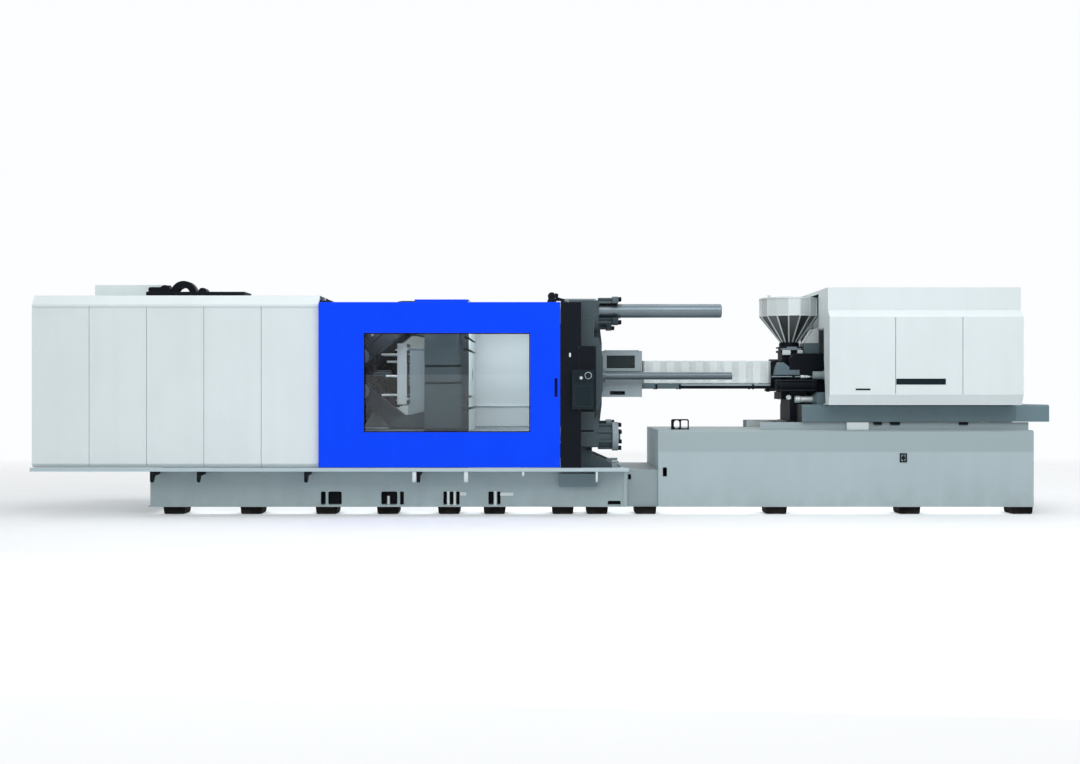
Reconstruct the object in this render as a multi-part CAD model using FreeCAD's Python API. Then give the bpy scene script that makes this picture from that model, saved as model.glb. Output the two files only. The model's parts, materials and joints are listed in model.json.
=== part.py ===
"""Large electric injection moulding machine with a double toggle clamp, in millimetres.

+X runs from the clamp end to the injection end, +Y is the rear side, +Z is up.
The origin is on the floor, under the middle of the machine.
Heights of the clamp and of the barrel are measured from their common centreline, CENTRE_Z.
"""
import FreeCAD
import Part
import math
import os

V = FreeCAD.Vector

# ---------------------------------------------------------------- driving dimensions
CENTRE_Z = 1615.0            # clamp and barrel centreline above the floor
FOOT_HEIGHT = 82.0
FOOT_LENGTH = 252.0
BED_HALF_WIDTH = 830.0
BED_TOP = 506.0
CLAMP_BED_X = (-4566.0, 912.0)
LINK_BED_END = 1274.0        # narrower stretch that joins the clamp bed to the injection bed
INJ_BED_X = (1274.0, 5586.0)
INJ_BED_TOP = 962.0
FRONT_FEET_CLAMP = (-4288, -3403, -2539, -1835, -1134, -611, 173, 567)
FRONT_FEET_INJ = (1124, 2624, 4157, 5450)

TIE_SPACING = 1450.0         # tie bar centres, both ways
TIE_R = 80.0
PLATEN_HALF = 850.0
FIXED_PLATEN_X = (235.0, 532.0)
FIXED_CROWN_X = 635.0        # rear face of the thick middle of the fixed platen
MOVING_PLATEN_X = (-1416.0, -903.0)
T_SLOT_ROWS = (-402.0, -266.0, 266.0, 402.0)
MOULD_FLANGE = 92.0          # full-width edge of the moving platen; the casting is slimmer behind it

# toggle: heights from the centreline, both pivots at the same height
PIVOT_Z = 675.0
TOGGLE_Y = 430.0             # middle plane of each of the two toggle sets
TAIL_LINK = 545.1
FRONT_LINK = 697.2
TAIL_ANGLE = 60.44           # degrees below the line of the bars, at rest
FRONT_ANGLE = 40.12
PIVOT_GAP = 765.0            # tail pivot to platen pivot, along X, at rest
PLATEN_PIVOT_X = MOVING_PLATEN_X[0] - 270.0
TAIL_PIVOT_X = PLATEN_PIVOT_X - PIVOT_GAP
TAILSTOCK_X = (TAIL_PIVOT_X - 740.0, TAIL_PIVOT_X - 290.0)
CROSS_PIN_Z = 150.0
CROSS_PIN_X = TAIL_PIVOT_X + 288.0
CROSS_LINK = 380.0
CROSS_ANGLE = 135.4          # degrees above the line of the bars, leaning back
THIRD_RADIUS = 280.0         # tail pivot to the pin of the crosshead link
THIRD_ANGLE = 25.8
TOGGLE_PIN_R = 75.0
CROSS_PIN_R = 35.0

# covers of the clamp
COVER_X = (-5830.0, -2590.0)
COVER_PANELS = 5
COVER_Y = 1090.0
COVER_ROOF_Y = 1000.0
COVER_ROOF_Z = 2496.0
COVER_CHAMFER_Z = 2390.0
COVER_BEVEL_Z = 593.0
COVER_BASE_Z = 548.0
COVER_BASE_Y = 1062.0
SHEET = 4.0
PANEL_GAP = 6.0

# safety doors
DOOR_X = (-2581.0, 139.0)
DOOR_Z = (555.0, 2415.0)
DOOR_Y = 1150.0
DOOR_DEPTH = 40.0
WINDOW_X = (-2071.0, -198.0)
WINDOW_Z = (950.0, 2067.0)
HANDLE_Z = (1346.0, 1560.0)
REAR_HANDLE_X = -952.0
POST_X = (146.0, 376.0)
RAIL_Z = (507.0, 548.0)

# injection unit
BARREL_R = 115.0
BARREL_X = (1000.0, 2790.0)
BARREL_COVER_X = (1136.0, 2684.0)
BARREL_COVERS = 9            # sections of the cover, one for each heater zone
HOPPER_X = 2928.0
HOPPER_R = 351.0
HOPPER_RIM_Z = (2315.0, 2527.0)
HOPPER_THROAT_R = 100.0
HOPPER_THROAT_Z = 1994.0
HOPPER_SIDES = 16
HOUSING_X = (2876.0, 3360.0)
INJ_COVER_X = (3205.0, 5411.0)
INJ_COVER_Y = 1000.0
INJ_COVER_SEAMS = (3954.0, 4718.0)
INJ_COVER_Z = (1269.0, 1374.0, 2254.0, 2345.0, 2600.0)
CARRIAGE_X = (2946.0, 5813.0)
CARRIAGE_Z = (1057.0, 1255.0)
CARRIAGE_HALF = 700.0
RAIL_TOP = 1044.0            # top of the carriage's rails
SHIFT_ROD_Y = 420.0
SHIFT_ROD_Z = 1592.0

SOLIDS = {}


# ---------------------------------------------------------------- helpers
def box(x0, x1, y0, y1, z0, z1):
    """A block between two corners."""
    return Part.makeBox(x1 - x0, y1 - y0, z1 - z0, V(x0, y0, z0))


def rod(axis, r, start, end, a, b):
    """A cylinder of radius r along axis, from start to end, its other two coordinates a and b in X, Y, Z order."""
    places = {"x": V(start, a, b), "y": V(a, start, b), "z": V(a, b, start)}
    ways = {"x": V(1, 0, 0), "y": V(0, 1, 0), "z": V(0, 0, 1)}
    return Part.makeCylinder(r, end - start, places[axis], ways[axis])


def rounded_face(points, radii, place):
    """A flat face with the given corners, each rounded by its radius; place turns 2D points into space."""
    n = len(points)
    radii = list(radii) if isinstance(radii, (list, tuple)) else [radii] * n
    edges = []
    starts, ends, mids = [], [], []
    for i in range(n):
        p, a, b = V(*points[i], 0), V(*points[i - 1], 0), V(*points[(i + 1) % n], 0)
        if radii[i] <= 0:
            starts.append(p)
            ends.append(p)
            mids.append(None)
            continue
        u, w = (a - p).normalize(), (b - p).normalize()
        half = u.getAngle(w) / 2
        reach = radii[i] / math.tan(half)
        bisector = (u + w).normalize()
        starts.append(p + u * reach)
        ends.append(p + w * reach)
        mids.append(p + bisector * (radii[i] / math.sin(half) - radii[i]))
    for i in range(n):
        if mids[i] is not None:
            arc = Part.Arc(place(starts[i]), place(mids[i]), place(ends[i]))
            edges.append(arc.toShape())
        nxt = starts[(i + 1) % n]
        if (nxt - ends[i]).Length > 1e-6:
            edges.append(Part.LineSegment(place(ends[i]), place(nxt)).toShape())
    return Part.Face(Part.Wire(edges))


def prism_xz(points, y0, y1, radii=0):
    """An outline of (x, z) points, swept from y0 to y1."""
    return rounded_face(points, radii, lambda p: V(p.x, y0, p.y)).extrude(V(0, y1 - y0, 0))


def prism_yz(points, x0, x1, radii=0):
    """An outline of (y, z) points, swept from x0 to x1."""
    return rounded_face(points, radii, lambda p: V(x0, p.x, p.y)).extrude(V(x1 - x0, 0, 0))


def prism_xy(points, z0, z1, radii=0):
    """An outline of (x, y) points, swept from z0 to z1."""
    return rounded_face(points, radii, lambda p: V(p.x, p.y, z0)).extrude(V(0, 0, z1 - z0))


def rectangle(a0, a1, b0, b1):
    """The four corners of a rectangle."""
    return [(a0, b0), (a1, b0), (a1, b1), (a0, b1)]


def offset_line(points, t):
    """The open line moved t to its left, with mitred corners."""
    moved = []
    n = len(points)
    for i in range(n):
        steps = []
        if i > 0:
            steps.append((points[i][0] - points[i - 1][0], points[i][1] - points[i - 1][1]))
        if i < n - 1:
            steps.append((points[i + 1][0] - points[i][0], points[i + 1][1] - points[i][1]))
        normals = [(-d[1] / math.hypot(*d), d[0] / math.hypot(*d)) for d in steps]
        nx, ny = sum(m[0] for m in normals), sum(m[1] for m in normals)
        scale = t * len(normals) / (nx * nx + ny * ny)
        moved.append((points[i][0] + nx * scale, points[i][1] + ny * scale))
    return moved


def strip(points, t):
    """The closed outline of a sheet of thickness t that follows an open line."""
    return points + offset_line(points, t)[::-1]


def link_face_points(c1, r1, c2, r2):
    """The tangent points and outer mid points of a link round two bosses."""
    dx, dz = c2[0] - c1[0], c2[1] - c1[1]
    length = math.hypot(dx, dz)
    along = math.atan2(dz, dx)
    spread = math.acos((r1 - r2) / length)
    at = lambda c, r, a: (c[0] + r * math.cos(a), c[1] + r * math.sin(a))
    return (at(c1, r1, along + spread), at(c1, r1, along + math.pi), at(c1, r1, along - spread),
            at(c2, r2, along - spread), at(c2, r2, along), at(c2, r2, along + spread))


def link_plate(c1, r1, c2, r2, y0, y1):
    """A flat link in the XZ plane with rounded ends of radius r1 and r2, from y0 to y1."""
    p = [V(q[0], y0, q[1]) for q in link_face_points(c1, r1, c2, r2)]
    edges = [Part.Arc(p[0], p[1], p[2]).toShape(), Part.LineSegment(p[2], p[3]).toShape(),
             Part.Arc(p[3], p[4], p[5]).toShape(), Part.LineSegment(p[5], p[0]).toShape()]
    return Part.Face(Part.Wire(edges)).extrude(V(0, y1 - y0, 0))


def fuse(shapes):
    """One solid of several that touch or overlap."""
    shapes = [s for s in shapes if s is not None]
    result = shapes[0] if len(shapes) == 1 else shapes[0].multiFuse(shapes[1:])
    return result.removeSplitter()


def cut(shape, tools):
    """The shape less the tools."""
    return shape.cut(tools if len(tools) > 1 else tools[0])


def both_sides(shape):
    """The shape and its mirror image across the middle plane of the machine."""
    return [shape, shape.mirror(V(0, 0, 0), V(0, 1, 0))]


def above_and_below(shape):
    """The shape and its mirror image across the centreline's level."""
    return [shape, shape.mirror(V(0, 0, CENTRE_Z), V(0, 0, 1))]


def four_corners(shape):
    """The shape and its mirror images across both middle planes."""
    return [s for half in above_and_below(shape) for s in both_sides(half)]


def keep(name, shapes):
    """Stores a node: one solid, or a group of separate ones."""
    shapes = shapes if isinstance(shapes, list) else [shapes]
    solids = [s for shape in shapes for s in shape.Solids]
    SOLIDS[name] = solids[0] if len(solids) == 1 else Part.makeCompound(solids)


# ---------------------------------------------------------------- beds and feet
GIRDER_INNER = 500.0
PLATE = 25.0
BED_RIBS_X = (-4100, -3100, -2000, -1000, 300)
BED_WINDOWS = ((-1957, 104, 248, (-1890,)), (-1270, 104, 264, (-1140,)),
               (-1020, 104, 188, (-958, -882)), (-600, 104, 150, (-525,)))
BED_WINDOW_HEIGHT = 155.0
WAY_Y = 640.0                # middle of the slideways that carry the platens
WAY_WIDTH = 180.0
WAY_TOP = 526.0
BRACKETS_X = (-4480, -4000, -2765, -1490, -840, -255, 585)
BRACKET_T = 14.0


def girder():
    """One long box beam of the clamp bed, on the front side, with the windows that reach the feet."""
    x0, x1 = CLAMP_BED_X
    outer, inner = -BED_HALF_WIDTH, -GIRDER_INNER
    shell = box(x0, x1, outer, inner, FOOT_HEIGHT, BED_TOP)
    room = box(x0 + PLATE, x1 - PLATE, outer + PLATE, inner - PLATE, FOOT_HEIGHT + PLATE, BED_TOP - PLATE)
    lip = box(x0 - 22, x0, outer, inner, FOOT_HEIGHT, FOOT_HEIGHT + 14)
    body = cut(fuse([shell, lip]), [room])
    ribs, holes = [], []
    for start, low, length, rib_places in BED_WINDOWS:
        corners = rectangle(start, start + length, low, low + BED_WINDOW_HEIGHT)
        holes.append(prism_xz(corners, outer - 1, outer + PLATE + 1, 22))
        for place in rib_places:
            ribs.append(box(place, place + 16, outer + 4, inner - PLATE + 1, FOOT_HEIGHT + 10, BED_TOP - 10))
    notch = box(690, 840, outer - 1, outer + PLATE + 1, 92, 152)
    return fuse([cut(body, holes + [notch])] + ribs)


def make_clamp_bed():
    """Clamp bed: two box beams, each with its slideway, sill brackets and duct box."""
    pieces = [girder(), box(-3900, CLAMP_BED_X[1] - 40, -WAY_Y - WAY_WIDTH / 2, -WAY_Y + WAY_WIDTH / 2,
                            BED_TOP - 1, WAY_TOP)]
    for x in BRACKETS_X:
        profile = [(-BED_HALF_WIDTH + 1, RAIL_Z[0]), (-DOOR_Y + 8, RAIL_Z[0]), (-DOOR_Y + 8, RAIL_Z[0] - 24),
                   (-BED_HALF_WIDTH + 1, RAIL_Z[0] - 135)]
        pieces.append(prism_yz(profile, x, x + BRACKET_T))
    pieces.append(prism_yz([(-BED_HALF_WIDTH + 1, 318), (-BED_HALF_WIDTH + 1, 471), (-BED_HALF_WIDTH - 105, 471),
                            (-BED_HALF_WIDTH - 75, 318)], 130, 563))
    keep("clamp_bed", both_sides(fuse(pieces)))


def make_cross_members():
    """Cross beams and end plates between the two bed beams, and the stretch that meets the injection bed."""
    members = [box(x, x + 60, -GIRDER_INNER, GIRDER_INNER, FOOT_HEIGHT + 60, BED_TOP - 60) for x in BED_RIBS_X]
    members += [box(x, x + PLATE, -GIRDER_INNER, GIRDER_INNER, FOOT_HEIGHT, BED_TOP)
                for x in (CLAMP_BED_X[0], CLAMP_BED_X[1] - PLATE)]
    half = BED_HALF_WIDTH - 30
    end = cut(box(CLAMP_BED_X[1], LINK_BED_END, -half, half, FOOT_HEIGHT, BED_TOP),
              [box(CLAMP_BED_X[1] + 1, LINK_BED_END - PLATE, -half + PLATE, half - PLATE, FOOT_HEIGHT + PLATE,
                   BED_TOP - PLATE)])
    eyelets = both_sides(prism_xz(rectangle(926, 960, 395, 455), -half - 10, -half + 30, 8))
    members.append(cut(end, eyelets))
    keep("bed_cross_members", members)


def make_injection_bed():
    """Hollow sheet and plate bed under the injection unit."""
    x0, x1 = INJ_BED_X
    w, t = BED_HALF_WIDTH, 14.0
    profile = [(-w, FOOT_HEIGHT), (w, FOOT_HEIGHT), (w, INJ_BED_TOP - 16), (w - 34, INJ_BED_TOP),
               (-w + 34, INJ_BED_TOP), (-w, INJ_BED_TOP - 16)]
    body = prism_yz(profile, x0, x1)
    rooms = []
    walls = [x0 + t, x0 + 1100, x0 + 2200, x0 + 3300, x1]
    for a, b in zip(walls[:-1], walls[1:]):
        rooms.append(box(a, b - t, -w + t, w - t, FOOT_HEIGHT + t, INJ_BED_TOP - 30))
    slot = prism_xz(rectangle(1322, 1371, 431, 536), -w - 1, -w + t + 1, 8)
    recess = prism_xz(rectangle(4052, 4122, 600, 692), -w - 1, -w + 4, 6)
    latch_hole = rod("y", 20.3, -w - 1, -w + t + 1, 4087, 646)
    keep("injection_bed", cut(body, rooms + [slot, recess, latch_hole]))


def make_feet():
    """Levelling pads with rounded lower corners, in two rows."""
    feet = []
    for x in FRONT_FEET_CLAMP + FRONT_FEET_INJ:
        outline = [(x - FOOT_LENGTH / 2, FOOT_HEIGHT), (x - FOOT_LENGTH / 2 + 8, 0),
                   (x + FOOT_LENGTH / 2 - 8, 0), (x + FOOT_LENGTH / 2, FOOT_HEIGHT)]
        feet += both_sides(prism_xz(outline, -BED_HALF_WIDTH, -BED_HALF_WIDTH + 250, (0, 24, 24, 0)))
    keep("levelling_feet", feet)


# ---------------------------------------------------------------- clamp: platens, bars and tail stock
CORNER = TIE_SPACING / 2
ROBOT_BOLT_R = 13.0


def tie_bore(x0, x1, clearance):
    """Four bores for the tie bars."""
    return four_corners(rod("x", TIE_R + clearance, x0, x1, -CORNER, CENTRE_Z + CORNER))


def t_slot(z, face_x, inward):
    """A T slot along Y in a platen's mould face; inward is the way into the metal along X."""
    neck, head, depth = 28.0, 50.0, 58.0
    edge = face_x - inward * 1
    inner = face_x + inward * depth
    step = face_x + inward * 34
    profile = [(edge, z - neck / 2), (step, z - neck / 2), (step, z - head / 2), (inner, z - head / 2),
               (inner, z + head / 2), (step, z + head / 2), (step, z + neck / 2), (edge, z + neck / 2)]
    return prism_xz(profile, -PLATEN_HALF - 1, PLATEN_HALF + 1)


def platen_feet(x0, x1, base):
    """Two legs that stand on the slideways."""
    leg = [(-WAY_Y - 130, CENTRE_Z - PLATEN_HALF + 1), (-WAY_Y - 100, base), (-WAY_Y + 100, base),
           (-WAY_Y + 150, CENTRE_Z - PLATEN_HALF + 1)]
    return both_sides(prism_yz(leg, x0, x1))


def make_fixed_platen():
    """Cast platen with a thick crowned middle, corner bosses, T slots and the hole that the nozzle enters."""
    x0, x1 = FIXED_PLATEN_X
    low, high = CENTRE_Z - PLATEN_HALF, CENTRE_Z + PLATEN_HALF
    slab = prism_yz(rectangle(-PLATEN_HALF, PLATEN_HALF, low, high), x0, x1, 40)
    side = [(x1 - 1, low + 60), (x1 + 50, low + 60), (FIXED_CROWN_X, CENTRE_Z - 360),
            (FIXED_CROWN_X, CENTRE_Z + 360), (x1 + 50, high - 60), (x1 - 1, high - 60)]
    low_side = [(a, CENTRE_Z + (b - CENTRE_Z) * 0.52) for a, b in side]
    crown = [prism_xz(side, -PLATEN_HALF + 300, PLATEN_HALF - 300, (0, 20, 260, 260, 20, 0)),
             prism_xz(low_side, -PLATEN_HALF, PLATEN_HALF, (0, 10, 120, 120, 10, 0))]
    bosses = four_corners(rod("x", 190, x1 - 1, 583, -CORNER + 60, CENTRE_Z + CORNER - 60))
    pads = [box(x1 - 150, x1 + 51, -PLATEN_HALF - 2, -PLATEN_HALF + 250, z0, z1)
            for z0, z1 in ((high - 214, high - 14), (low + 14, low + 172))]
    gusset = prism_xz([(x1 - 30, 680), (x1 + 60, 648), (x1 + 270, 556), (x1 + 288, WAY_TOP), (x1 - 30, WAY_TOP)],
                      -WAY_Y - 80, -WAY_Y + 80)
    body = fuse([slab] + crown + bosses + platen_feet(x0 + 20, x1 - 20, WAY_TOP) + both_sides(gusset)
                + [p for pad in pads for p in both_sides(pad)])
    holes = tie_bore(x0 - 1, 640, 1.0)
    holes.append(rod("x", 100, x0 - 1, x0 + 40, 0, CENTRE_Z))
    holes.append(rod("x", 62, x0, FIXED_CROWN_X, 0, CENTRE_Z))
    cone = Part.makeCone(75, 190, 260, V(FIXED_CROWN_X - 240, 0, CENTRE_Z), V(1, 0, 0))
    holes.append(cone)
    holes += [t_slot(CENTRE_Z + z, x0, 1) for z in T_SLOT_ROWS]
    holes += [rod("z", ROBOT_BOLT_R, high - 60, high + 1, x, y) for x in (x0 + 60, x1 - 60) for y in (-300, 300)]
    keep("fixed_platen", cut(body, holes))


def make_moving_platen():
    """Cast moving platen with T slots, side pockets, toggle lugs and shoes on the slideways."""
    x0, x1 = MOVING_PLATEN_X
    low, high = CENTRE_Z - PLATEN_HALF, CENTRE_Z + PLATEN_HALF
    slim = 14.0
    slab = fuse([prism_yz(rectangle(-PLATEN_HALF, PLATEN_HALF, low, high), x1 - MOULD_FLANGE, x1, 40),
                 prism_yz(rectangle(-PLATEN_HALF + slim, PLATEN_HALF - slim, low, high), x0, x1 - 1, 40)])
    lugs = []
    pivot = (PLATEN_PIVOT_X, CENTRE_Z + PIVOT_Z)
    for y0, y1 in lug_slabs():
        lug = fuse([rod("y", 175, y0, y1, pivot[0], pivot[1]),
                    prism_xz([(pivot[0], pivot[1] - 175), (x0 + 1, pivot[1] - 240), (x0 + 1, high),
                              (pivot[0], pivot[1] + 175)], y0, y1)])
        lugs += four_corners(lug)
    shoes = platen_feet(x0 - 60, x1 - 20, WAY_TOP + 0.5)
    body = fuse([slab] + lugs + shoes + four_corners(pivot_pin(pivot, 165)))
    holes = tie_bore(x0 - 1, x1 + 1, 1.0)
    holes += [t_slot(CENTRE_Z + z, x1, -1) for z in T_SLOT_ROWS]
    holes.append(rod("x", 75, x1 - 40, x1 + 1, 0, CENTRE_Z))
    for z in (-110, 85):
        pocket = prism_xz(rectangle(x0 - 1, x1 - MOULD_FLANGE, CENTRE_Z + z - 12, CENTRE_Z + z + 12),
                          -PLATEN_HALF - 1, -PLATEN_HALF + 90)
        holes += both_sides(pocket)
    holes += ejector_places(lambda y, z: rod("x", 21, x0 - 1, x1 + 1, y, z))
    holes.append(box(x0 - 1, x0 + 220, -170, 170, CENTRE_Z - 190, CENTRE_Z + 190))
    keep("moving_platen", cut(body, holes))


def lug_slabs():
    """The two Y ranges of a pivot lug pair, on the front side."""
    return ((-TOGGLE_Y - 165, -TOGGLE_Y - 97), (-TOGGLE_Y + 97, -TOGGLE_Y + 165))


def tail_slabs():
    """The two Y ranges of the tail link plates, on the front side."""
    return ((-TOGGLE_Y - 160, -TOGGLE_Y - 97), (-TOGGLE_Y + 97, -TOGGLE_Y + 160))


def pivot_pin(pivot, reach):
    """A toggle pin across its lugs, with a cap on the outer end; it is held fast in the casting."""
    y0, y1 = -TOGGLE_Y - reach, -TOGGLE_Y + reach
    return fuse([rod("y", TOGGLE_PIN_R, y0 - 3, y1, *pivot), rod("y", 100, y0 - 16, y0 - 2, *pivot)])


def ejector_places(make):
    """Calls make(y, z) for the four knock-out bars."""
    return [make(y, CENTRE_Z + z) for y in (-200, 200) for z in (-300, 300)]


def make_tailstock():
    """Cast tail stock with two pairs of long lugs for the tail links."""
    x0, x1 = TAILSTOCK_X
    low, high = CENTRE_Z - PLATEN_HALF, CENTRE_Z + PLATEN_HALF
    slab = prism_yz(rectangle(-PLATEN_HALF, PLATEN_HALF, low, high), x0, x1, 40)
    pivot = (TAIL_PIVOT_X, CENTRE_Z + PIVOT_Z)
    lug = fuse([rod("y", 128, -TOGGLE_Y - 92, -TOGGLE_Y + 92, pivot[0], pivot[1]),
                prism_xz([(x1 - 1, pivot[1] - 175), (pivot[0] - 60, pivot[1] - 112), (pivot[0], pivot[1] + 128),
                          (x1 - 1, pivot[1] + 170)], -TOGGLE_Y - 92, -TOGGLE_Y + 92)])
    guides = [rod("x", GUIDE_BAR_R, x1 - 1, TAIL_PIVOT_X + 560, y, CENTRE_Z) for y in (-GUIDE_BAR_Y, GUIDE_BAR_Y)]
    body = fuse([slab] + four_corners(lug) + platen_feet(x0 + 20, x1 - 20, WAY_TOP)
                + four_corners(pivot_pin(pivot, 160)) + guides)
    holes = tie_bore(x0 - 1, x1 + 1, 1.0)
    holes.append(rod("x", 90, x0 - 1, x1 + 1, 0, CENTRE_Z))
    holes.append(box(x0 - 1, x1 - 120, -420, 420, CENTRE_Z - 420, CENTRE_Z - 180))
    holes.append(box(x0 - 1, x1 - 120, -420, 420, CENTRE_Z + 180, CENTRE_Z + 420))
    keep("tailstock", cut(body, holes))


def make_tie_bars():
    """Four tie bars; the upper front one reaches on past the fixed platen."""
    left = TAILSTOCK_X[0] - 580
    long_end, short_end = 2007.0, 838.0
    bars = []
    for y in (-CORNER, CORNER):
        for z in (CENTRE_Z - CORNER, CENTRE_Z + CORNER):
            bars.append(chamfered_bar(left, long_end if y < 0 and z > CENTRE_Z else short_end, y, z))
    keep("tie_bars", bars)


def chamfered_bar(x0, x1, y, z):
    """A tie bar with chamfered ends, turned from one outline."""
    c = 8.0
    outline = [(x0, 0), (x0, TIE_R - c), (x0 + c, TIE_R), (x1 - c, TIE_R), (x1, TIE_R - c), (x1, 0)]
    face = Part.Face(Part.makePolygon([V(a, y, z + b) for a, b in outline + outline[:1]]))
    return face.revolve(V(0, y, z), V(1, 0, 0), 360)


def make_tie_bar_nuts():
    """Round nuts with a bolted retaining ring; the long bar's one is open on its front side, to let the bar out."""
    nuts = []
    for y in (-CORNER, CORNER):
        for z in (CENTRE_Z - CORNER, CENTRE_Z + CORNER):
            body = rod("x", 132, 583, 746, y, z)
            ring = rod("x", 166, 745, 812, y, z)
            parts = [body, ring]
            for i in range(8):
                a = math.radians(45 * i + 22.5)
                by, bz = y + 144 * math.cos(a), z + 144 * math.sin(a)
                parts.append(rod("x", 15, 583, 846, by, bz))
            holes = [rod("x", TIE_R, 580, 850, y, z)]
            if y < 0 and z > CENTRE_Z:
                holes.append(box(590, 850, y - 200, y, z - TIE_R - 4, z + TIE_R + 4))
            nuts.append(cut(fuse(parts), holes))
    keep("tie_bar_nuts", nuts)


def make_die_height_nuts():
    """Geared nuts behind the tail stock that set the mould height."""
    nuts = []
    teeth = 24
    for y in (-CORNER, CORNER):
        for z in (CENTRE_Z - CORNER, CENTRE_Z + CORNER):
            x0 = TAILSTOCK_X[0]
            points = []
            for i in range(teeth):
                for turn, r in ((0.0, 110), (0.22, 121), (0.5, 121), (0.72, 110)):
                    a = 2 * math.pi * (i + turn) / teeth
                    points.append((y + r * math.cos(a), z + r * math.sin(a)))
            gear = prism_yz(points, x0 - 90, x0 - 30)
            hub = rod("x", 104, x0 - 180, x0, y, z)
            nuts.append(cut(fuse([gear, hub]), [rod("x", TIE_R, x0 - 190, x0 + 10, y, z)]))
    keep("die_height_nuts", nuts)


# ---------------------------------------------------------------- toggle
def turned(point, radius, degrees):
    """The point at a radius and angle, measured down from +X, from another point."""
    a = math.radians(degrees)
    return (point[0] + radius * math.cos(a), point[1] - radius * math.sin(a))


TAIL_PIN = (TAIL_PIVOT_X, CENTRE_Z + PIVOT_Z)
KNEE = turned(TAIL_PIN, TAIL_LINK, TAIL_ANGLE)
THIRD = turned(TAIL_PIN, THIRD_RADIUS, TAIL_ANGLE + THIRD_ANGLE)
FRONT_END = turned(KNEE, FRONT_LINK, -FRONT_ANGLE)
CROSS_PIN = (CROSS_PIN_X, CENTRE_Z + CROSS_PIN_Z)
CROSS_END = turned(CROSS_PIN, CROSS_LINK, -CROSS_ANGLE)
OPEN_HOLE_R = 125.0          # the front link's eye is open round its pin, for the swing that ratios can't follow
OPEN_CROSS_R = 62.0


def make_tail_links():
    """Tail links: two pairs of plates above and two below, each with a third eye for the crosshead link."""
    plates = []
    for y0, y1 in tail_slabs():
        arm = link_plate(TAIL_PIN, 130, KNEE, 118, y0, y1)
        branch = link_plate(turned(TAIL_PIN, 150, TAIL_ANGLE), 95, THIRD, 78, y0, y1)
        plate = fuse([arm, branch])
        holes = [rod("y", TOGGLE_PIN_R + 0.5, y0 - 1, y1 + 1, *TAIL_PIN),
                 rod("y", TOGGLE_PIN_R, y0 - 1, y1 + 1, *KNEE),
                 rod("y", CROSS_PIN_R, y0 - 1, y1 + 1, *THIRD)]
        plates += both_sides(cut(plate, holes))
    mirror = [p.mirror(V(0, 0, CENTRE_Z), V(0, 0, 1)) for p in plates]
    keep("upper_tail_links", plates)
    keep("lower_tail_links", mirror)


def make_link_pins():
    """Knee pins and crosshead link pins that the tail links carry, with round caps."""
    pins = []
    y0, y1 = -TOGGLE_Y - 160, -TOGGLE_Y + 160
    knee = fuse([rod("y", TOGGLE_PIN_R, y0, y1, *KNEE), rod("y", 100, y0 - 18, y0, *KNEE)])
    third = fuse([rod("y", CROSS_PIN_R, y0, -198, *THIRD), rod("y", 52, y0 - 14, y0, *THIRD)])
    pins += both_sides(knee) + both_sides(third)
    keep("upper_link_pins", pins)
    keep("lower_link_pins", [p.mirror(V(0, 0, CENTRE_Z), V(0, 0, 1)) for p in pins])


def make_front_links():
    """Thick front links from the knees to the moving platen."""
    y0, y1 = -TOGGLE_Y - 92, -TOGGLE_Y + 92
    body = fuse([link_plate(KNEE, 94, FRONT_END, 106, y0, y1), rod("y", 116, y0, y1, *KNEE),
                 rod("y", 168, y0, y1, *FRONT_END)])
    holes = [rod("y", TOGGLE_PIN_R + 0.5, y0 - 1, y1 + 1, *KNEE),
             rod("y", OPEN_HOLE_R, y0 - 1, y1 + 1, *FRONT_END)]
    relief_from = turned(KNEE, FRONT_LINK * 0.30, -FRONT_ANGLE)
    relief_to = turned(KNEE, FRONT_LINK * 0.58, -FRONT_ANGLE)
    for a, b in ((y0 - 1, y0 + 30), (y1 - 30, y1 + 1)):
        holes.append(link_plate(relief_from, 46, relief_to, 52, a, b))
    links = both_sides(cut(body, holes))
    keep("upper_front_links", links)
    keep("lower_front_links", [s.mirror(V(0, 0, CENTRE_Z), V(0, 0, 1)) for s in links])


def make_crosshead():
    """Crosshead block with the ball nut's bore, guide bores and four pin ears, and its pins."""
    x, z = CROSS_PIN_X, CENTRE_Z
    block = prism_yz(rectangle(-150, 150, z - 110, z + 110), x - 110, x + 80, 18)
    nut = rod("x", 82, x - 190, x - 100, 0, z)
    ear = prism_xz([(x - 62, z + 90), (x + 62, z + 90), (x + 62, z + CROSS_PIN_Z), (x + 40, z + 205),
                    (x - 40, z + 205), (x - 62, z + CROSS_PIN_Z)], -150, -90, (0, 0, 0, 12, 12, 0))
    pins = four_corners(rod("y", CROSS_PIN_R, -264, -91, *CROSS_PIN))
    body = fuse([block, nut] + four_corners(ear) + pins)
    holes = [rod("x", SCREW_R + 1.5, x - 300, x + 100, 0, z)]
    holes += [rod("x", GUIDE_BAR_R + 1.0, x - 300, x + 100, y, z) for y in (-GUIDE_BAR_Y, GUIDE_BAR_Y)]
    keep("crosshead", cut(body, holes))


def make_cross_links():
    """Short links from the crosshead to the tail links."""
    y0, y1 = -262, -200
    body = link_plate(CROSS_PIN, 66, CROSS_END, 92, y0, y1)
    holes = [rod("y", CROSS_PIN_R + 0.5, y0 - 1, y1 + 1, *CROSS_PIN),
             rod("y", OPEN_CROSS_R, y0 - 1, y1 + 1, *CROSS_END)]
    links = both_sides(cut(body, holes))
    keep("upper_cross_links", links)
    keep("lower_cross_links", [s.mirror(V(0, 0, CENTRE_Z), V(0, 0, 1)) for s in links])


SCREW_R = 50.0
GUIDE_BAR_R = 25.0
GUIDE_BAR_Y = 108.0
PULLEY_R = 260.0
MOTOR_PULLEY_R = 95.0
MOTOR_Z = 560.0


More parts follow.
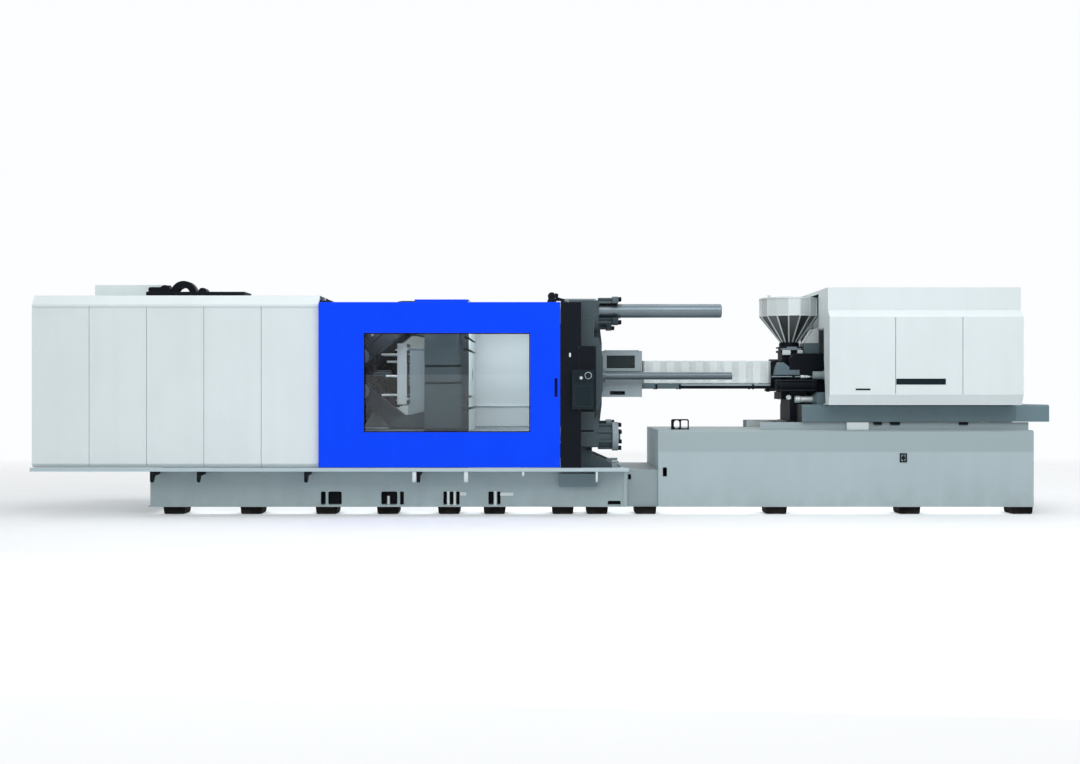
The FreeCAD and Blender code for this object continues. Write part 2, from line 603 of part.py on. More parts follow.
def belt_loop(direction, a, b):
    """A toothed belt, shown smooth, from the screw's pulley to a motor's, between two X positions."""
    here, there = (0.0, 0.0), (0.0, direction * MOTOR_Z)
    outer = link_plate(here, PULLEY_R + 12.5, there, MOTOR_PULLEY_R + 12, a, b)
    inner = link_plate(here, PULLEY_R + 0.5, there, MOTOR_PULLEY_R, a - 1, b + 1)
    loop = outer.cut(inner)
    loop.rotate(V(0, 0, 0), V(0, 0, 1), -90)
    loop.translate(V(0, 0, CENTRE_Z))
    return loop


def make_clamp_drive():
    """Ball screw with its driven pulley, the two clamp motors and their belts."""
    z = CENTRE_Z
    back = TAILSTOCK_X[0]
    screw = rod("x", SCREW_R, back - 330, TAIL_PIVOT_X + 560, 0, z)
    pulley = rod("x", PULLEY_R, back - 290, back - 190, 0, z)
    flanges = [rod("x", PULLEY_R + 16, back - 298, back - 290, 0, z),
               rod("x", PULLEY_R + 16, back - 190, back - 182, 0, z)]
    journal = rod("x", 88, back - 120, back + 430, 0, z)
    keep("clamp_ball_screw", fuse([screw, pulley, journal] + flanges))
    motors = []
    for zc in (z - MOTOR_Z, z + MOTOR_Z):
        shaft = rod("x", 34, back - 330, back - 170, 0, zc)
        small = rod("x", MOTOR_PULLEY_R, back - 290, back - 190, 0, zc)
        carcass = prism_yz(rectangle(-150, 150, zc - 150, zc + 150), back - 760, back - 330, 30)
        plate = box(back - 330, back - 300, -230, 230, zc - 190, zc + 190)
        arms = [box(back - 301, back, y, y + 40, zc - 60, zc + 60) for y in (-230, 190)]
        side, a, b = (-1, 242, 288) if zc < z else (1, 192, 238)
        belt = belt_loop(side, a, b)
        belt.translate(V(back - 480, 0, 0))
        motors.append(fuse([shaft, small, carcass, plate, belt] + arms))
    keep("clamp_motors", motors)


# ---------------------------------------------------------------- ejector
EJECTOR_PLATE_X = (MOVING_PLATEN_X[0] - 376.0, MOVING_PLATEN_X[0] - 262.0)
EJECTOR_RODS = ((-120, 235, 578), (120, 235, 578), (-120, -250, 578), (120, -250, 578),
                (-60, 150, 516), (60, 150, 516), (-182, -23, 516), (182, -23, 516))
EJECTOR_ROD_R = 13.0


def make_ejector():
    """Ejector brackets and drive on the platen's back, guide rods, and the plate with its knock-out bars."""
    x0 = MOVING_PLATEN_X[0]
    z = CENTRE_Z
    outline = [(x0 - 345, z - 595), (x0, z - 595), (x0, z + 281), (x0 - 222, z + 281), (x0 - 222, z - 380),
               (x0 - 345, z - 380)]
    sides = both_sides(prism_xz(outline, -260, -242))
    drive = prism_xz([(x0 - 508, z - 400), (x0 - 508, z - 579), (x0 - 344, z - 530), (x0 - 344, z - 400)], -190, 190)
    floor = prism_xz(rectangle(x0 - 345, x0, z - 595, z - 577), -243, 243)
    shelf = prism_xz(rectangle(x0 - 345, x0 - 240, z - 430, z - 392), -243, 243)
    keep("ejector_frame", fuse(sides + [drive, floor, shelf]))
    rods = [rod("x", EJECTOR_ROD_R, x0 - tail, x0, y, z + dz) for y, dz, tail in EJECTOR_RODS
            if abs(y) < 170 and abs(dz) > 190]
    rods += [rod("x", EJECTOR_ROD_R, x0 - tail, x0 + 220, y, z + dz) for y, dz, tail in EJECTOR_RODS
             if abs(y) < 170 and abs(dz) < 190]
    rods += [rod("x", EJECTOR_ROD_R, x0 - tail, x0, y, z + dz) for y, dz, tail in EJECTOR_RODS if abs(y) > 170]
    keep("ejector_guide_rods", rods)
    xa, xb = EJECTOR_PLATE_X
    plate = prism_yz(rectangle(-236, 236, z - 366, z + 366), xa, xb, 16)
    holes = [prism_yz(rectangle(-164, 164, z - 134, z + 134), xa - 1, xb + 1, 10)]
    holes += [rod("x", EJECTOR_ROD_R + 0.5, xa - 1, xb + 1, y, z + dz) for y, dz, tail in EJECTOR_RODS]
    bars = ejector_places(lambda y, zc: rod("x", 18, xb - 10, MOVING_PLATEN_X[1] - 12, y, zc))
    keep("ejector_plate", fuse([cut(plate, holes)] + bars))


# ---------------------------------------------------------------- covers and doors
def cover_line():
    """The front cover's section: roof edge, chamfer, wall and lower bevel, as (y, z), outer face."""
    return [(-COVER_ROOF_Y, COVER_ROOF_Z), (-COVER_Y, COVER_CHAMFER_Z), (-COVER_Y, COVER_BEVEL_Z),
            (-COVER_BASE_Y, COVER_BASE_Z)]


def cover_panel(x0, x1):
    """One folded sheet panel with a return flange down each side."""
    line = cover_line()
    sheet = prism_yz(strip(line, SHEET), x0, x1)
    flange = strip(line, 28)
    returns = [prism_yz(flange, x0, x0 + SHEET), prism_yz(flange, x1 - SHEET, x1)]
    return fuse([sheet] + returns)


def make_covers():
    """Five front panels, five rear panels, the roof and the end wall of the clamp cover."""
    x0, x1 = COVER_X
    pitch = (x1 - x0) / COVER_PANELS
    front = []
    for i in range(COVER_PANELS):
        a = x0 + i * pitch + (0 if i == 0 else PANEL_GAP / 2)
        b = x0 + (i + 1) * pitch - (0 if i == COVER_PANELS - 1 else PANEL_GAP / 2)
        front.append(cover_panel(a, b))
    keep("front_cover_panels", front)
    keep("rear_cover_panels", [panel.mirror(V(0, 0, 0), V(0, 1, 0)) for panel in front])
    roof_z = COVER_ROOF_Z
    y = COVER_ROOF_Y
    line = [(y, roof_z - 45), (y - 2, roof_z), (-y + 2, roof_z), (-y, roof_z - 45)]
    lifted = [(a, b + 3) for a, b in line]
    roof = prism_yz(strip([lifted[1], lifted[2]], SHEET), x0, x1)
    folds = [box(x0, x1, side * 600 - 30, side * 600 + 30, roof_z - 26, roof_z + 1) for side in (-1, 0, 1)]
    keep("cover_roof", fuse([roof] + folds))
    wall_line = cover_line()
    inner = [(a + 30, min(b, roof_z - 40)) for a, b in wall_line]
    outline = [(-a, b) for a, b in inner[::-1]]
    wall = prism_yz(inner[::-1] + outline[::-1], x0 + SHEET + 2, x0 + 2 * SHEET + 2)
    louvre_cuts = [box(x0, x0 + 20, y0, y0 + 420, z0, z0 + 14) for y0 in (-700, 280)
                   for z0 in range(1900, 2180, 46)]
    keep("cover_end_wall", cut(wall, louvre_cuts))


def door_blank(handle_x):
    """A door's folded sheet: skin, return round the edge, stiffeners, upper tab and the cup of its recessed handle."""
    x0, x1 = DOOR_X
    z0, z1 = DOOR_Z
    outer = prism_xz(rectangle(x0, x1, z0, z1), -DOOR_Y, -DOOR_Y + DOOR_DEPTH, 4)
    inside = box(x0 + SHEET, x1 - SHEET, -DOOR_Y + SHEET, -DOOR_Y + DOOR_DEPTH + 1, z0 + SHEET, z1 - SHEET)
    middle = sum(HANDLE_Z) / 2
    reach = (HANDLE_Z[1] - HANDLE_Z[0]) / 2
    cup = box(handle_x - 30, handle_x + 30, -DOOR_Y, -DOOR_Y + DOOR_DEPTH - 2, middle - reach - 12, middle + reach + 12)
    stiffeners = [box(x, x + SHEET, -DOOR_Y + 2, -DOOR_Y + DOOR_DEPTH, z0 + 2, z1 - 2) for x in (x0 + 60, -120)]
    tab = box(-1500, -903, -DOOR_Y + 2, -DOOR_Y + DOOR_DEPTH, z1 - 6, z1 + 30)
    grip = prism_xz(rectangle(handle_x - 17, handle_x + 17, *HANDLE_Z), -DOOR_Y - 1, -DOOR_Y + DOOR_DEPTH - 8, 8)
    return [cut(outer, [inside]), cup, tab] + stiffeners, grip


def make_doors():
    """Front sliding door with its polycarbonate window, and the rear one, which is a closed panel."""
    pieces, grip = door_blank(92)
    collar = box(WINDOW_X[0] - SHEET, WINDOW_X[1] + SHEET, -DOOR_Y, -DOOR_Y + DOOR_DEPTH,
                 WINDOW_Z[0] - SHEET, WINDOW_Z[1] + SHEET)
    opening = box(WINDOW_X[0], WINDOW_X[1], -DOOR_Y - 1, 0, WINDOW_Z[0], WINDOW_Z[1])
    keep("front_door", cut(fuse(pieces + [collar]), [opening, grip]))
    y = -DOOR_Y + DOOR_DEPTH
    keep("front_door_window", box(WINDOW_X[0] - 30, WINDOW_X[1] + 30, y, y + 8, WINDOW_Z[0] - 30, WINDOW_Z[1] + 30))
    pieces, grip = door_blank(REAR_HANDLE_X)
    middle = (DOOR_Z[0] + DOOR_Z[1]) / 2
    bar = box(DOOR_X[0] + 2, DOOR_X[1] - 2, -DOOR_Y + 2, -DOOR_Y + DOOR_DEPTH - 4, middle - 270, middle - 266)
    rear = cut(fuse(pieces + [bar]), [grip])
    keep("rear_door", rear.mirror(V(0, 0, 0), V(0, 1, 0)))


def make_door_track():
    """Lower rails on the sill brackets and slim upper guides, front and rear."""
    lower = box(COVER_X[0], 912, -DOOR_Y, -DOOR_Y + 60, RAIL_Z[0], RAIL_Z[1])
    sill = box(COVER_X[0], 912, -DOOR_Y + 59, -BED_HALF_WIDTH + 60, RAIL_Z[0], RAIL_Z[0] + 12)
    rail = fuse([lower, sill])
    upper = box(COVER_X[0] + 30, COVER_X[1], -DOOR_Y + 46, -COVER_Y, 2366, 2386)
    keep("door_rails", both_sides(rail) + both_sides(upper))


def make_posts():
    """Black guard posts between the doors and the fixed platen; the front one bears a plate and the door switch."""
    x0, x1 = POST_X
    y = -DOOR_Y
    skin = [(x0, y + 70), (x0, y), (x1, y), (x1, y + 300)]
    post = prism_xy(strip(skin, SHEET), RAIL_Z[1], DOOR_Z[1])
    foot = box(x0 + 2, x1 - 2, y + 2, y + 60, RAIL_Z[1], RAIL_Z[1] + 8)
    head = box(x0 + 2, x1 - 2, y + 2, y + 290, DOOR_Z[1] - 6, DOOR_Z[1])
    stays = [box(x1 - 6, x1, y + 290, -PLATEN_HALF, z, z + 60) for z in (900, 1600, 2250)]
    bare = fuse([post, foot, head] + stays)
    plate = prism_xz(rectangle(339, 542, 1178, 1920), y - 14, y, 6)
    hook = prism_xz([(60, 2430), (150, 2430), (150, 2409), (190, 2409), (190, 2450), (118, 2470), (118, 2508),
                     (84, 2520), (84, 2455), (60, 2448)], y + 42, y + 80)
    keep("door_posts", [fuse([bare, plate, hook]), bare.mirror(V(0, 0, 0), V(0, 1, 0))])


# ---------------------------------------------------------------- controls and top pieces
def make_control_panel():
    """Panel box on its backing plate on the front post, with an emergency stop and a selector."""
    y = -DOOR_Y
    case = prism_xz(rectangle(272, 519, 1211, 1650), y - 62, y - 14, 10)
    screen = prism_xz(rectangle(296, 495, 1240, 1470), y - 63, y - 58, 6)
    holes = [screen, rod("y", 12.5, y - 70, y - 30, 372, 1560), rod("y", 12.5, y - 70, y - 30, 450, 1585)]
    keep("control_panel", cut(case, holes))
    stop = fuse([rod("y", 12, y - 88, y - 40, 372, 1560), rod("y", 32, y - 104, y - 84, 372, 1560)])
    keep("emergency_stop", stop)
    knob = fuse([rod("y", 12, y - 78, y - 40, 450, 1585), rod("y", 24, y - 80, y - 64, 450, 1585),
                 box(443, 457, y - 96, y - 79, 1563, 1607)])
    keep("mode_selector", knob)


def make_robot_base():
    """Plate on top of the fixed platen that a take-out robot stands on."""
    top = CENTRE_Z + PLATEN_HALF
    plate = prism_xy(rectangle(160, 566, -560, 560), top, top + 28, 20)
    holes = [rod("z", ROBOT_BOLT_R, top - 1, top + 29, x, y) for x in (FIXED_PLATEN_X[0] + 60, FIXED_PLATEN_X[1] - 60)
             for y in (-300, 300)]
    keep("robot_base_plate", cut(plate, holes))


def make_roof_pieces():
    """Light sheet box, black lubrication unit with its arched pipe, and its tray, on the roof's front edge."""
    z = COVER_ROOF_Z + 7
    y0, y1 = -900.0, -560.0
    keep("roof_box", prism_xz(rectangle(-5321, -4486, z, z + 157), -470, -130, (0, 0, 8, 8)))
    tray = box(-4600, -3472, y0 + 20, y1 + 40, z, z + 48)
    tray = cut(tray, [box(-4596, -3476, y0 + 24, y1 + 36, z + 4, z + 60)])
    pump = fuse([prism_xz([(-4585, z + 3), (-4430, z + 3), (-4430, z + 70), (-4446, z + 104), (-4570, z + 104),
                           (-4585, z + 90)], y0 + 60, y1 - 60),
                 rod("y", 62, y0 + 60, y1 - 60, -4395, z + 66),
                 rod("z", 46, z + 3, z + 128, -4395, y0 + 150)])
    arch = cut(rod("y", 150, y0 + 110, y0 + 230, -4195, z + 30),
               [rod("y", 72, y0 + 100, y0 + 240, -4195, z + 30),
                box(-4400, -3900, y0 + 100, y0 + 240, z - 200, z + 3)])
    link = box(-4440, -4260, y0 + 90, y0 + 250, z + 3, z + 44)
    valve = fuse([box(-4110, -3915, y0 + 90, y0 + 250, z + 3, z + 44),
                  rod("y", 48, y0 + 100, y0 + 240, -3975, z + 52)])
    keep("lubrication_unit", fuse([tray, pump, arch, link, valve]))


# ---------------------------------------------------------------- nozzle side of the fixed platen
GUARD_X = (FIXED_CROWN_X, 1125.0)
GUARD_Y = 300.0
GUARD_Z = (1342.0, 1889.0)
HATCH_Z = 1650.0


def make_nozzle_guard():
    """Sheet guard round the nozzle, open at both ends, with a hinged front hatch and its window."""
    x0, x1 = GUARD_X
    z0, z1 = GUARD_Z
    y = GUARD_Y
    outer = box(x0, x1, -y, y, z0, z1)
    inner = box(x0 - 1, x1 - SHEET, -y + SHEET, y - SHEET, z0 + SHEET, z1 - SHEET)
    way_in = box(x1 - 10, x1 + 1, -190, 190, 1420, 1820)
    hatch_hole = box(x0 + 20, x1 - 20, -y - 1, -y + SHEET + 1, HATCH_Z + 14, z1 - 26)
    slot = prism_xz(rectangle(743, 923, 1368, 1413), -y - 1, -y + SHEET + 1, 6)
    flange = cut(box(x0, x0 + 8, -y - 22, y + 22, z0 - 22, z1 + 22), [box(x0 - 1, x0 + 9, -y, y, z0, z1)])
    ears = [cut(box(x, x + 14, -y - 20, -y + 8, z1 - 6, z1 + 12), [rod("x", 8.3, x - 1, x + 15, -y - 10, z1 + 2)])
            for x in (x0 + 44, x1 - 58)]
    keep("nozzle_guard", fuse([cut(outer, [inner, way_in, hatch_hole, slot]), flange] + ears))
    hatch = prism_xz(rectangle(x0 + 10, x1 - 6, HATCH_Z, z1 - 14), -y - 16, -y - 1, 5)
    opening = box(703, 1039, -y - 20, -y + 1, 1683, 1835)
    hinge = rod("x", 8, x0 + 40, x1 - 40, -y - 10, z1 + 2)
    leaf = box(x0 + 62, x1 - 62, -y - 13, -y - 7, z1 - 20, z1 + 2)
    keep("guard_hatch", fuse([cut(hatch, [opening]), hinge, leaf]))
    keep("guard_hatch_window", box(703, 1039, -y - 11, -y - 6, 1683, 1835))


def make_shift_rods():
    """Two rods that the injection unit pulls itself up to; their free ends point at it."""
    x0 = FIXED_CROWN_X
    rods = []
    for y in (-SHIFT_ROD_Y, SHIFT_ROD_Y):
        bar = rod("x", 44, x0, 2176, y, SHIFT_ROD_Z)
        boss = rod("x", 78, x0, x0 + 40, y, SHIFT_ROD_Z)
        rods.append(fuse([bar, boss]))
    return rods


# ---------------------------------------------------------------- injection unit
def make_carriage():
    """Rails on the bed and the long base slab of the injection unit."""
    rails = []
    for y in (-560, 560):
        rail = [(y - 32, INJ_BED_TOP), (y + 32, INJ_BED_TOP), (y + 26, RAIL_TOP), (y - 26, RAIL_TOP)]
        rails.append(prism_yz(rail, 2500, 5560))
    keep("carriage_rails", rails)
    x0, x1 = CARRIAGE_X
    z0, z1 = CARRIAGE_Z
    w = CARRIAGE_HALF
    slab = prism_yz([(-w, z0), (w, z0), (w, z1 - 20), (w - 20, z1), (-w + 20, z1), (-w, z1 - 20)], x0, x1)
    slab = cut(slab, [box(x0 + 600, x1 - 40, -w + 30, w - 30, z0 - 1, z0 + 150)])
    top = CENTRE_Z - 215
    pedestal = prism_xz([(3140, z1 - 1), (3460, z1 - 1), (3460, top), (3180, top), (3140, top - 40)], -620, 620,
                        (0, 0, 0, 20, 20))
    shoes = []
    for x in (3020, 3500, 4640, 5180):
        for y in (-560, 560):
            shoe = box(x, x + 230, y - 70, y + 70, INJ_BED_TOP + 18, z0 + 151 if x > 3100 else z0 + 1)
            groove = [(y - 33, INJ_BED_TOP), (y + 33, INJ_BED_TOP), (y + 27, RAIL_TOP + 1), (y - 27, RAIL_TOP + 1)]
            shoes.append(cut(shoe, [prism_yz(groove, x - 1, x + 231)]))
    traverse = both_sides(fuse([rod("x", 27, 2962, 3150, -335, 1314), rod("x", 34, 3096, 3150, -335, 1314)]))
    body = fuse([slab, pedestal] + shoes + traverse)
    keep("carriage_base", cut(body, [box(3205, 3470, -260, 260, z1 + 60, top + 1)]))


def make_front_housing():
    """Black cast housing that holds the barrel and the hopper, with its column on the carriage."""
    x0, x1 = HOUSING_X
    z = CENTRE_Z
    ring = rod("x", 183, 2690, 2784, 0, z)
    seat = rod("x", 158, 2780, x0 + 10, 0, z)
    head = prism_xz([(x0, z - 215), (x1, z - 215), (x1, z + 245), (x0 + 60, z + 245), (x0, z + 190)], -330, 330,
                    (0, 0, 0, 20, 20))
    slab_end, slab_low, slab_top = CARRIAGE_X[0], CARRIAGE_Z[0], CARRIAGE_Z[1]
    column = prism_xz([(2880, slab_low - 20), (slab_end, slab_low - 20), (slab_end, slab_top), (3060, slab_top),
                       (3060, z - 210), (2880, z - 210)], -300, 300)
    foot = prism_xz([(2800, slab_low - 46), (3010, slab_low - 46), (3010, slab_low), (slab_end, slab_low),
                     (slab_end, slab_low + 6), (2860, slab_low + 6), (2800, slab_low - 20)], -360, 360)
    brow = box(2790, 2890, -240, 240, z - 300, z - 212)
    throat = box(2818, 3038, -150, 150, z + 100, z + 262)
    body = fuse([ring, seat, head, column, foot, brow, throat])
    holes = [rod("x", BARREL_R, 2600, x1 + 1, 0, z), rod("z", 62, z, z + 300, HOPPER_X, 0),
             box(x0 + 300, x1 + 1, -250, 250, z - 150, z + 180)]
    holes += [rod("x", 45, x1 - 60, x1 + 1, y, z + dz) for y, dz in DRIVE_BARS]
    keep("front_housing", cut(body, holes))


def make_barrel():
    """Barrel, nozzle, plasticising screw, barrel cover and drip tray."""
    x0, x1 = BARREL_X
    z = CENTRE_Z
    barrel = rod("x", BARREL_R, x0, 3160, 0, z)
    holes = [rod("x", 56, x0 - 1, 3161, 0, z), rod("z", 50, z, z + 200, HOPPER_X, 0)]
    keep("barrel", cut(barrel, holes))
    tip = Part.makeCone(24, 58, 70, V(680, 0, z), V(1, 0, 0))
    nozzle = fuse([tip, rod("x", 58, 750, 912, 0, z), rod("x", 92, 900, x0, 0, z)])
    funnel = Part.makeCone(8, 56, 101, V(x0 - 101, 0, z), V(1, 0, 0))
    keep("nozzle", cut(nozzle, [rod("x", 8, 670, 900, 0, z), funnel, rod("x", 56, x0 - 1, x0 + 1, 0, z)]))
    a, b = BARREL_COVER_X
    low, high, half = 1504.0, 1776.0, 150.0
    line = [(-half, low), (-half, high), (half, high), (half, low)]
    hood = prism_yz(strip(line, -SHEET), a, b, 0)
    ends = [prism_yz(rectangle(-half, half, low, high), x, x + SHEET) for x in (a, b - SHEET)]
    ends = [cut(e, [rod("x", BARREL_R + 4, a - 1, b + 1, 0, z)]) for e in ends]
    outer = [(-half + 3, low), (-half + 3, high - 3), (half - 3, high - 3), (half - 3, low)]
    bands = [prism_yz(strip(outer, SHEET + 5), x, x + 24)
             for x in (a + (b - a) / BARREL_COVERS * i - 12 for i in range(1, BARREL_COVERS))]
    keep("barrel_cover", fuse([hood] + ends + bands))
    tray_half, floor = half - 12, 1440.0
    tray = prism_yz(strip([(-tray_half, low - 6), (-tray_half, floor), (tray_half, floor), (tray_half, low - 6)],
                          SHEET), a + 2, b + 2)
    saddles = [cut(box(x, x + 20, -tray_half + 1, tray_half - 1, floor + 2, 1560),
                   [rod("x", BARREL_R, x - 1, x + 21, 0, z)]) for x in (a + 120, b - 300)]
    clips = [box(x, x + 22, side * 142 - 4, side * 142 + 4, low - 26, low + 6) for x in (1262, 1434, 2500)
             for side in (-1, 1)]
    keep("barrel_tray", fuse([tray] + saddles + clips))


def polygon_ring(r, z, turn=0.5):
    """A regular polygon of HOPPER_SIDES sides round the hopper's axis, at height z."""
    pts = []
    for i in range(HOPPER_SIDES + 1):
        a = 2 * math.pi * (i + turn) / HOPPER_SIDES
        pts.append(V(HOPPER_X + r * math.cos(a), r * math.sin(a), z))
    return Part.makePolygon(pts)


def hopper_body(shrink):
    """The solid inside a many-sided hopper whose wall is moved inwards by shrink."""
    z_top, z_rim, z_low = HOPPER_RIM_Z[1], HOPPER_RIM_Z[0], HOPPER_THROAT_Z
    over = 1.0 if shrink else 0.0
    rim = Part.makeLoft([polygon_ring(HOPPER_R - shrink, z_rim), polygon_ring(HOPPER_R - shrink, z_top + over)],
                        True, True)
    cone = Part.makeLoft([polygon_ring(HOPPER_THROAT_R - shrink, z_low - over),
                          polygon_ring(HOPPER_R - shrink, z_rim)], True, True)
    return fuse([rim, cone])


def make_hopper():
    """Many-sided sheet hopper with half its top closed, its hinged half lid, its neck and the slide gate."""
    top = HOPPER_RIM_Z[1]
    whole_lid = Part.Face(polygon_ring(HOPPER_R, top)).extrude(V(0, 0, 5))
    fixed_half = whole_lid.common(box(HOPPER_X + 12, HOPPER_X + 400, -400, 400, top - 1, top + 6))
    knuckles = [rod("y", 8, a, b, HOPPER_X, top + 11) for a, b in ((-200, -120), (120, 200))]
    leaves = [box(HOPPER_X, HOPPER_X + 40, a, b, top + 4, top + 8) for a, b in ((-200, -120), (120, 200))]
    hopper = fuse([cut(hopper_body(0.0), [hopper_body(5.0)]), fixed_half] + knuckles + leaves)
    keep("hopper", cut(hopper, [rod("y", 4.05, -201, 201, HOPPER_X, top + 11)]))
    moving_half = whole_lid.common(box(HOPPER_X - 400, HOPPER_X - 12, -400, 400, top - 1, top + 6))
    moving_half.translate(V(0, 0, 1))
    middle = rod("y", 8, -118, 118, HOPPER_X, top + 11)
    pin = rod("y", 4, -200, 200, HOPPER_X, top + 11)
    leaf = box(HOPPER_X - 40, HOPPER_X, -118, 118, top + 5, top + 9)
    grip = fuse([rod("z", 10, top + 5, top + 34, HOPPER_X - 240, 0),
                 rod("z", 22, top + 30, top + 44, HOPPER_X - 240, 0)])
    keep("hopper_lid", fuse([moving_half, middle, pin, leaf, grip]))
    z = CENTRE_Z + 262
    base = fuse([box(2798, 3060, -160, 160, z, z + 26),
                 rod("z", HOPPER_THROAT_R + 20, z + 20, HOPPER_THROAT_Z, HOPPER_X, 0),
                 box(2798, 3060, -160, 160, z + 52, z + 70)])
    gate_slot = box(HOPPER_X - 112, HOPPER_X + 112, -170, 130, z + 27, z + 51)
    bore = rod("z", 60, z - 1, HOPPER_THROAT_Z + 1, HOPPER_X, 0)
    flare = Part.makeCone(60, HOPPER_THROAT_R - 8, 60, V(HOPPER_X, 0, HOPPER_THROAT_Z - 60), V(0, 0, 1))
    keep("hopper_neck", cut(base, [bore, flare, gate_slot]))
    gate = box(HOPPER_X - 111, HOPPER_X + 111, -175, 128, z + 28, z + 50)
    gate = cut(gate, [rod("z", 60, z + 20, z + 60, HOPPER_X, -1)])
    lug = box(HOPPER_X - 60, HOPPER_X + 60, -190, -174, z + 28, z + 66)
    keep("hopper_gate", fuse([gate, lug]))


def injection_cover_outline():
    """The injection cover's section, outer face, all the way round, as (y, z)."""
    z = INJ_COVER_Z
    y = INJ_COVER_Y
    half = [(-y + 60, z[0]), (-y, z[1]), (-y, z[2]), (-y + 90, z[3]), (-y + 90, z[4])]
    return half + [(-a, b) for a, b in half[::-1]]


def side_panel(x0, x1):
    """One folded front panel: foot lip on the sill, bevel, wall, chamfer, and a lip behind the cap."""
    z = INJ_COVER_Z
    y = INJ_COVER_Y
    behind = -y + 90 + SHEET
    line = [(-y + 100, z[0]), (-y + 60, z[0]), (-y, z[1]), (-y, z[2]), (behind, z[3] + SHEET), (behind, z[3] + 30)]
    return prism_yz(strip(line, -SHEET), x0, x1)


def make_injection_cover():
    """White covers over the injection drive: sills, three panels a side, cap, end wall and nose with its doorway."""
    x0, x1 = INJ_COVER_X
    a, b = x0 + SHEET, x1 - SHEET
    z = INJ_COVER_Z
    edges = [a] + [x + s * PANEL_GAP / 2 for x in INJ_COVER_SEAMS for s in (-1, 1)] + [b]
    panels = [side_panel(*edges[i:i + 2]) for i in range(0, len(edges), 2)]
    strip_recess = prism_xz(rectangle(3960, 4525, 1485, 1555), -INJ_COVER_Y - 1, -INJ_COVER_Y + 3, 4)
    grip = prism_xz(rectangle(3499, 3668, 1420, 1443), -INJ_COVER_Y - 3, -INJ_COVER_Y + 3, 4)
    panels = [cut(panel, [strip_recess, grip]) for panel in panels]
    top = -INJ_COVER_Y + 90
    cap_line = [(top, z[3] + SHEET), (top, z[4]), (-top, z[4]), (-top, z[3] + SHEET)]
    cap = prism_yz(strip(cap_line, -SHEET), a, b)
    end = prism_yz(injection_cover_outline(), b, x1)
    vents = [box(x1 - 10, x1 + 1, -600, 600, low, low + 16) for low in range(1500, 1760, 52)]
    way = [(-780, z[0] - 20), (780, z[0] - 20), (690, 1800), (690, 2144), (390, 2144),
           (390, 2560), (-390, 2560), (-390, 2144), (-690, 2144), (-690, 1800)]
    nose = cut(prism_yz(injection_cover_outline(), x0, a), [prism_yz(way, x0 - 1, a + 1)])
    sill = cut(box(a, b, top - 26, -top + 26, CARRIAGE_Z[1], z[0]),
               [box(x0 - 1, x1 - 160, -650, 650, CARRIAGE_Z[1] - 1, z[0] + 1)])
    shells = [half for panel in panels for half in both_sides(panel)]
    keep("injection_cover", shells + [cap, cut(end, vents), nose, sill])


DRIVE_BARS = ((-285, 120), (285, -120))


def make_injection_drive():
    """Guide bars with their end plate, and the pusher plate with the screw's bearing and motor."""
    z = CENTRE_Z
    bars = [rod("x", 45, HOUSING_X[1] - 60, 5200, y, z + dz) for y, dz in DRIVE_BARS]
    back = prism_yz([(-380, CARRIAGE_Z[1]), (380, CARRIAGE_Z[1]), (380, z + 260), (-380, z + 260)], 5060, 5180,
                    (0, 0, 30, 30))
    keep("drive_frame", fuse([back] + bars))
    plate = prism_yz(rectangle(-380, 380, z - 220, z + 260), 4000, 4160, 30)
    motor = prism_yz(rectangle(-180, 180, z - 180, z + 180), 4150, 4600, 40)
    holes = [rod("x", 46, 3990, 4170, y, z + dz) for y, dz in DRIVE_BARS]
    holes.append(rod("x", 60.5, 3990, 4100.5, 0, z))
    keep("pusher_plate", cut(fuse([plate, motor]), holes))
    core = rod("x", 34, 999, 4100, 0, z)
    tip = Part.makeCone(8, 34, 70, V(930, 0, z), V(1, 0, 0))
    shank = rod("x", 60, 3300, 4100, 0, z)
    ring = rod("x", 52, 1010, 1050, 0, z)
    rear = rod("x", 53, 2990, 3120, 0, z)
    keep("plasticising_screw", fuse([core, tip, shank, ring, rear]))


def make_bed_bracket():
    """Black strap bracket with two windows on the injection bed's top."""
    z = INJ_BED_TOP
    frame = prism_xz(rectangle(1450, 1658, z, z + 122), -520, -500, (0, 0, 20, 20))
    left = prism_xz(rectangle(1482, 1548, z + 14, z + 106), -521, -499, 30)
    right = prism_xz(rectangle(1566, 1644, z + 14, z + 106), -521, -499, 12)
    keep("hose_bracket", cut(frame, [left, right]))
    y = BED_HALF_WIDTH
    latch = fuse([rod("y", 20, -y - 10, -y + 12, 4087, 646), box(4079, 4095, -y - 22, -y - 9, 616, 676)])
    keep("bed_latch", latch)


def main():
    """Builds every piece and writes one STEP file each."""
    make_clamp_bed()
    make_cross_members()
    make_injection_bed()
    make_feet()
    make_fixed_platen()
    make_moving_platen()
    make_tailstock()
    make_tie_bars()
    make_tie_bar_nuts()
    make_die_height_nuts()
    make_tail_links()
    make_link_pins()
    make_front_links()
    make_crosshead()
    make_cross_links()
    make_clamp_drive()
    make_ejector()
    make_covers()
    make_doors()
    make_door_track()
    make_posts()
    make_control_panel()
    make_robot_base()
    make_roof_pieces()
    make_nozzle_guard()
    keep("shift_rods", make_shift_rods())
    make_carriage()
    make_front_housing()
    make_barrel()
    make_hopper()
    make_injection_cover()
    make_injection_drive()
    make_bed_bracket()
    os.makedirs("parts", exist_ok=True)
    for name, shape in SOLIDS.items():
        shape.exportStep("parts/%s.step" % name)


main()
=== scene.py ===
"""Finish and fine fittings of a large injection moulding machine, with a studio to show it in.

Lengths are in metres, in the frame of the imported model: +X to the injection end, +Y to the rear side, +Z up.
"""

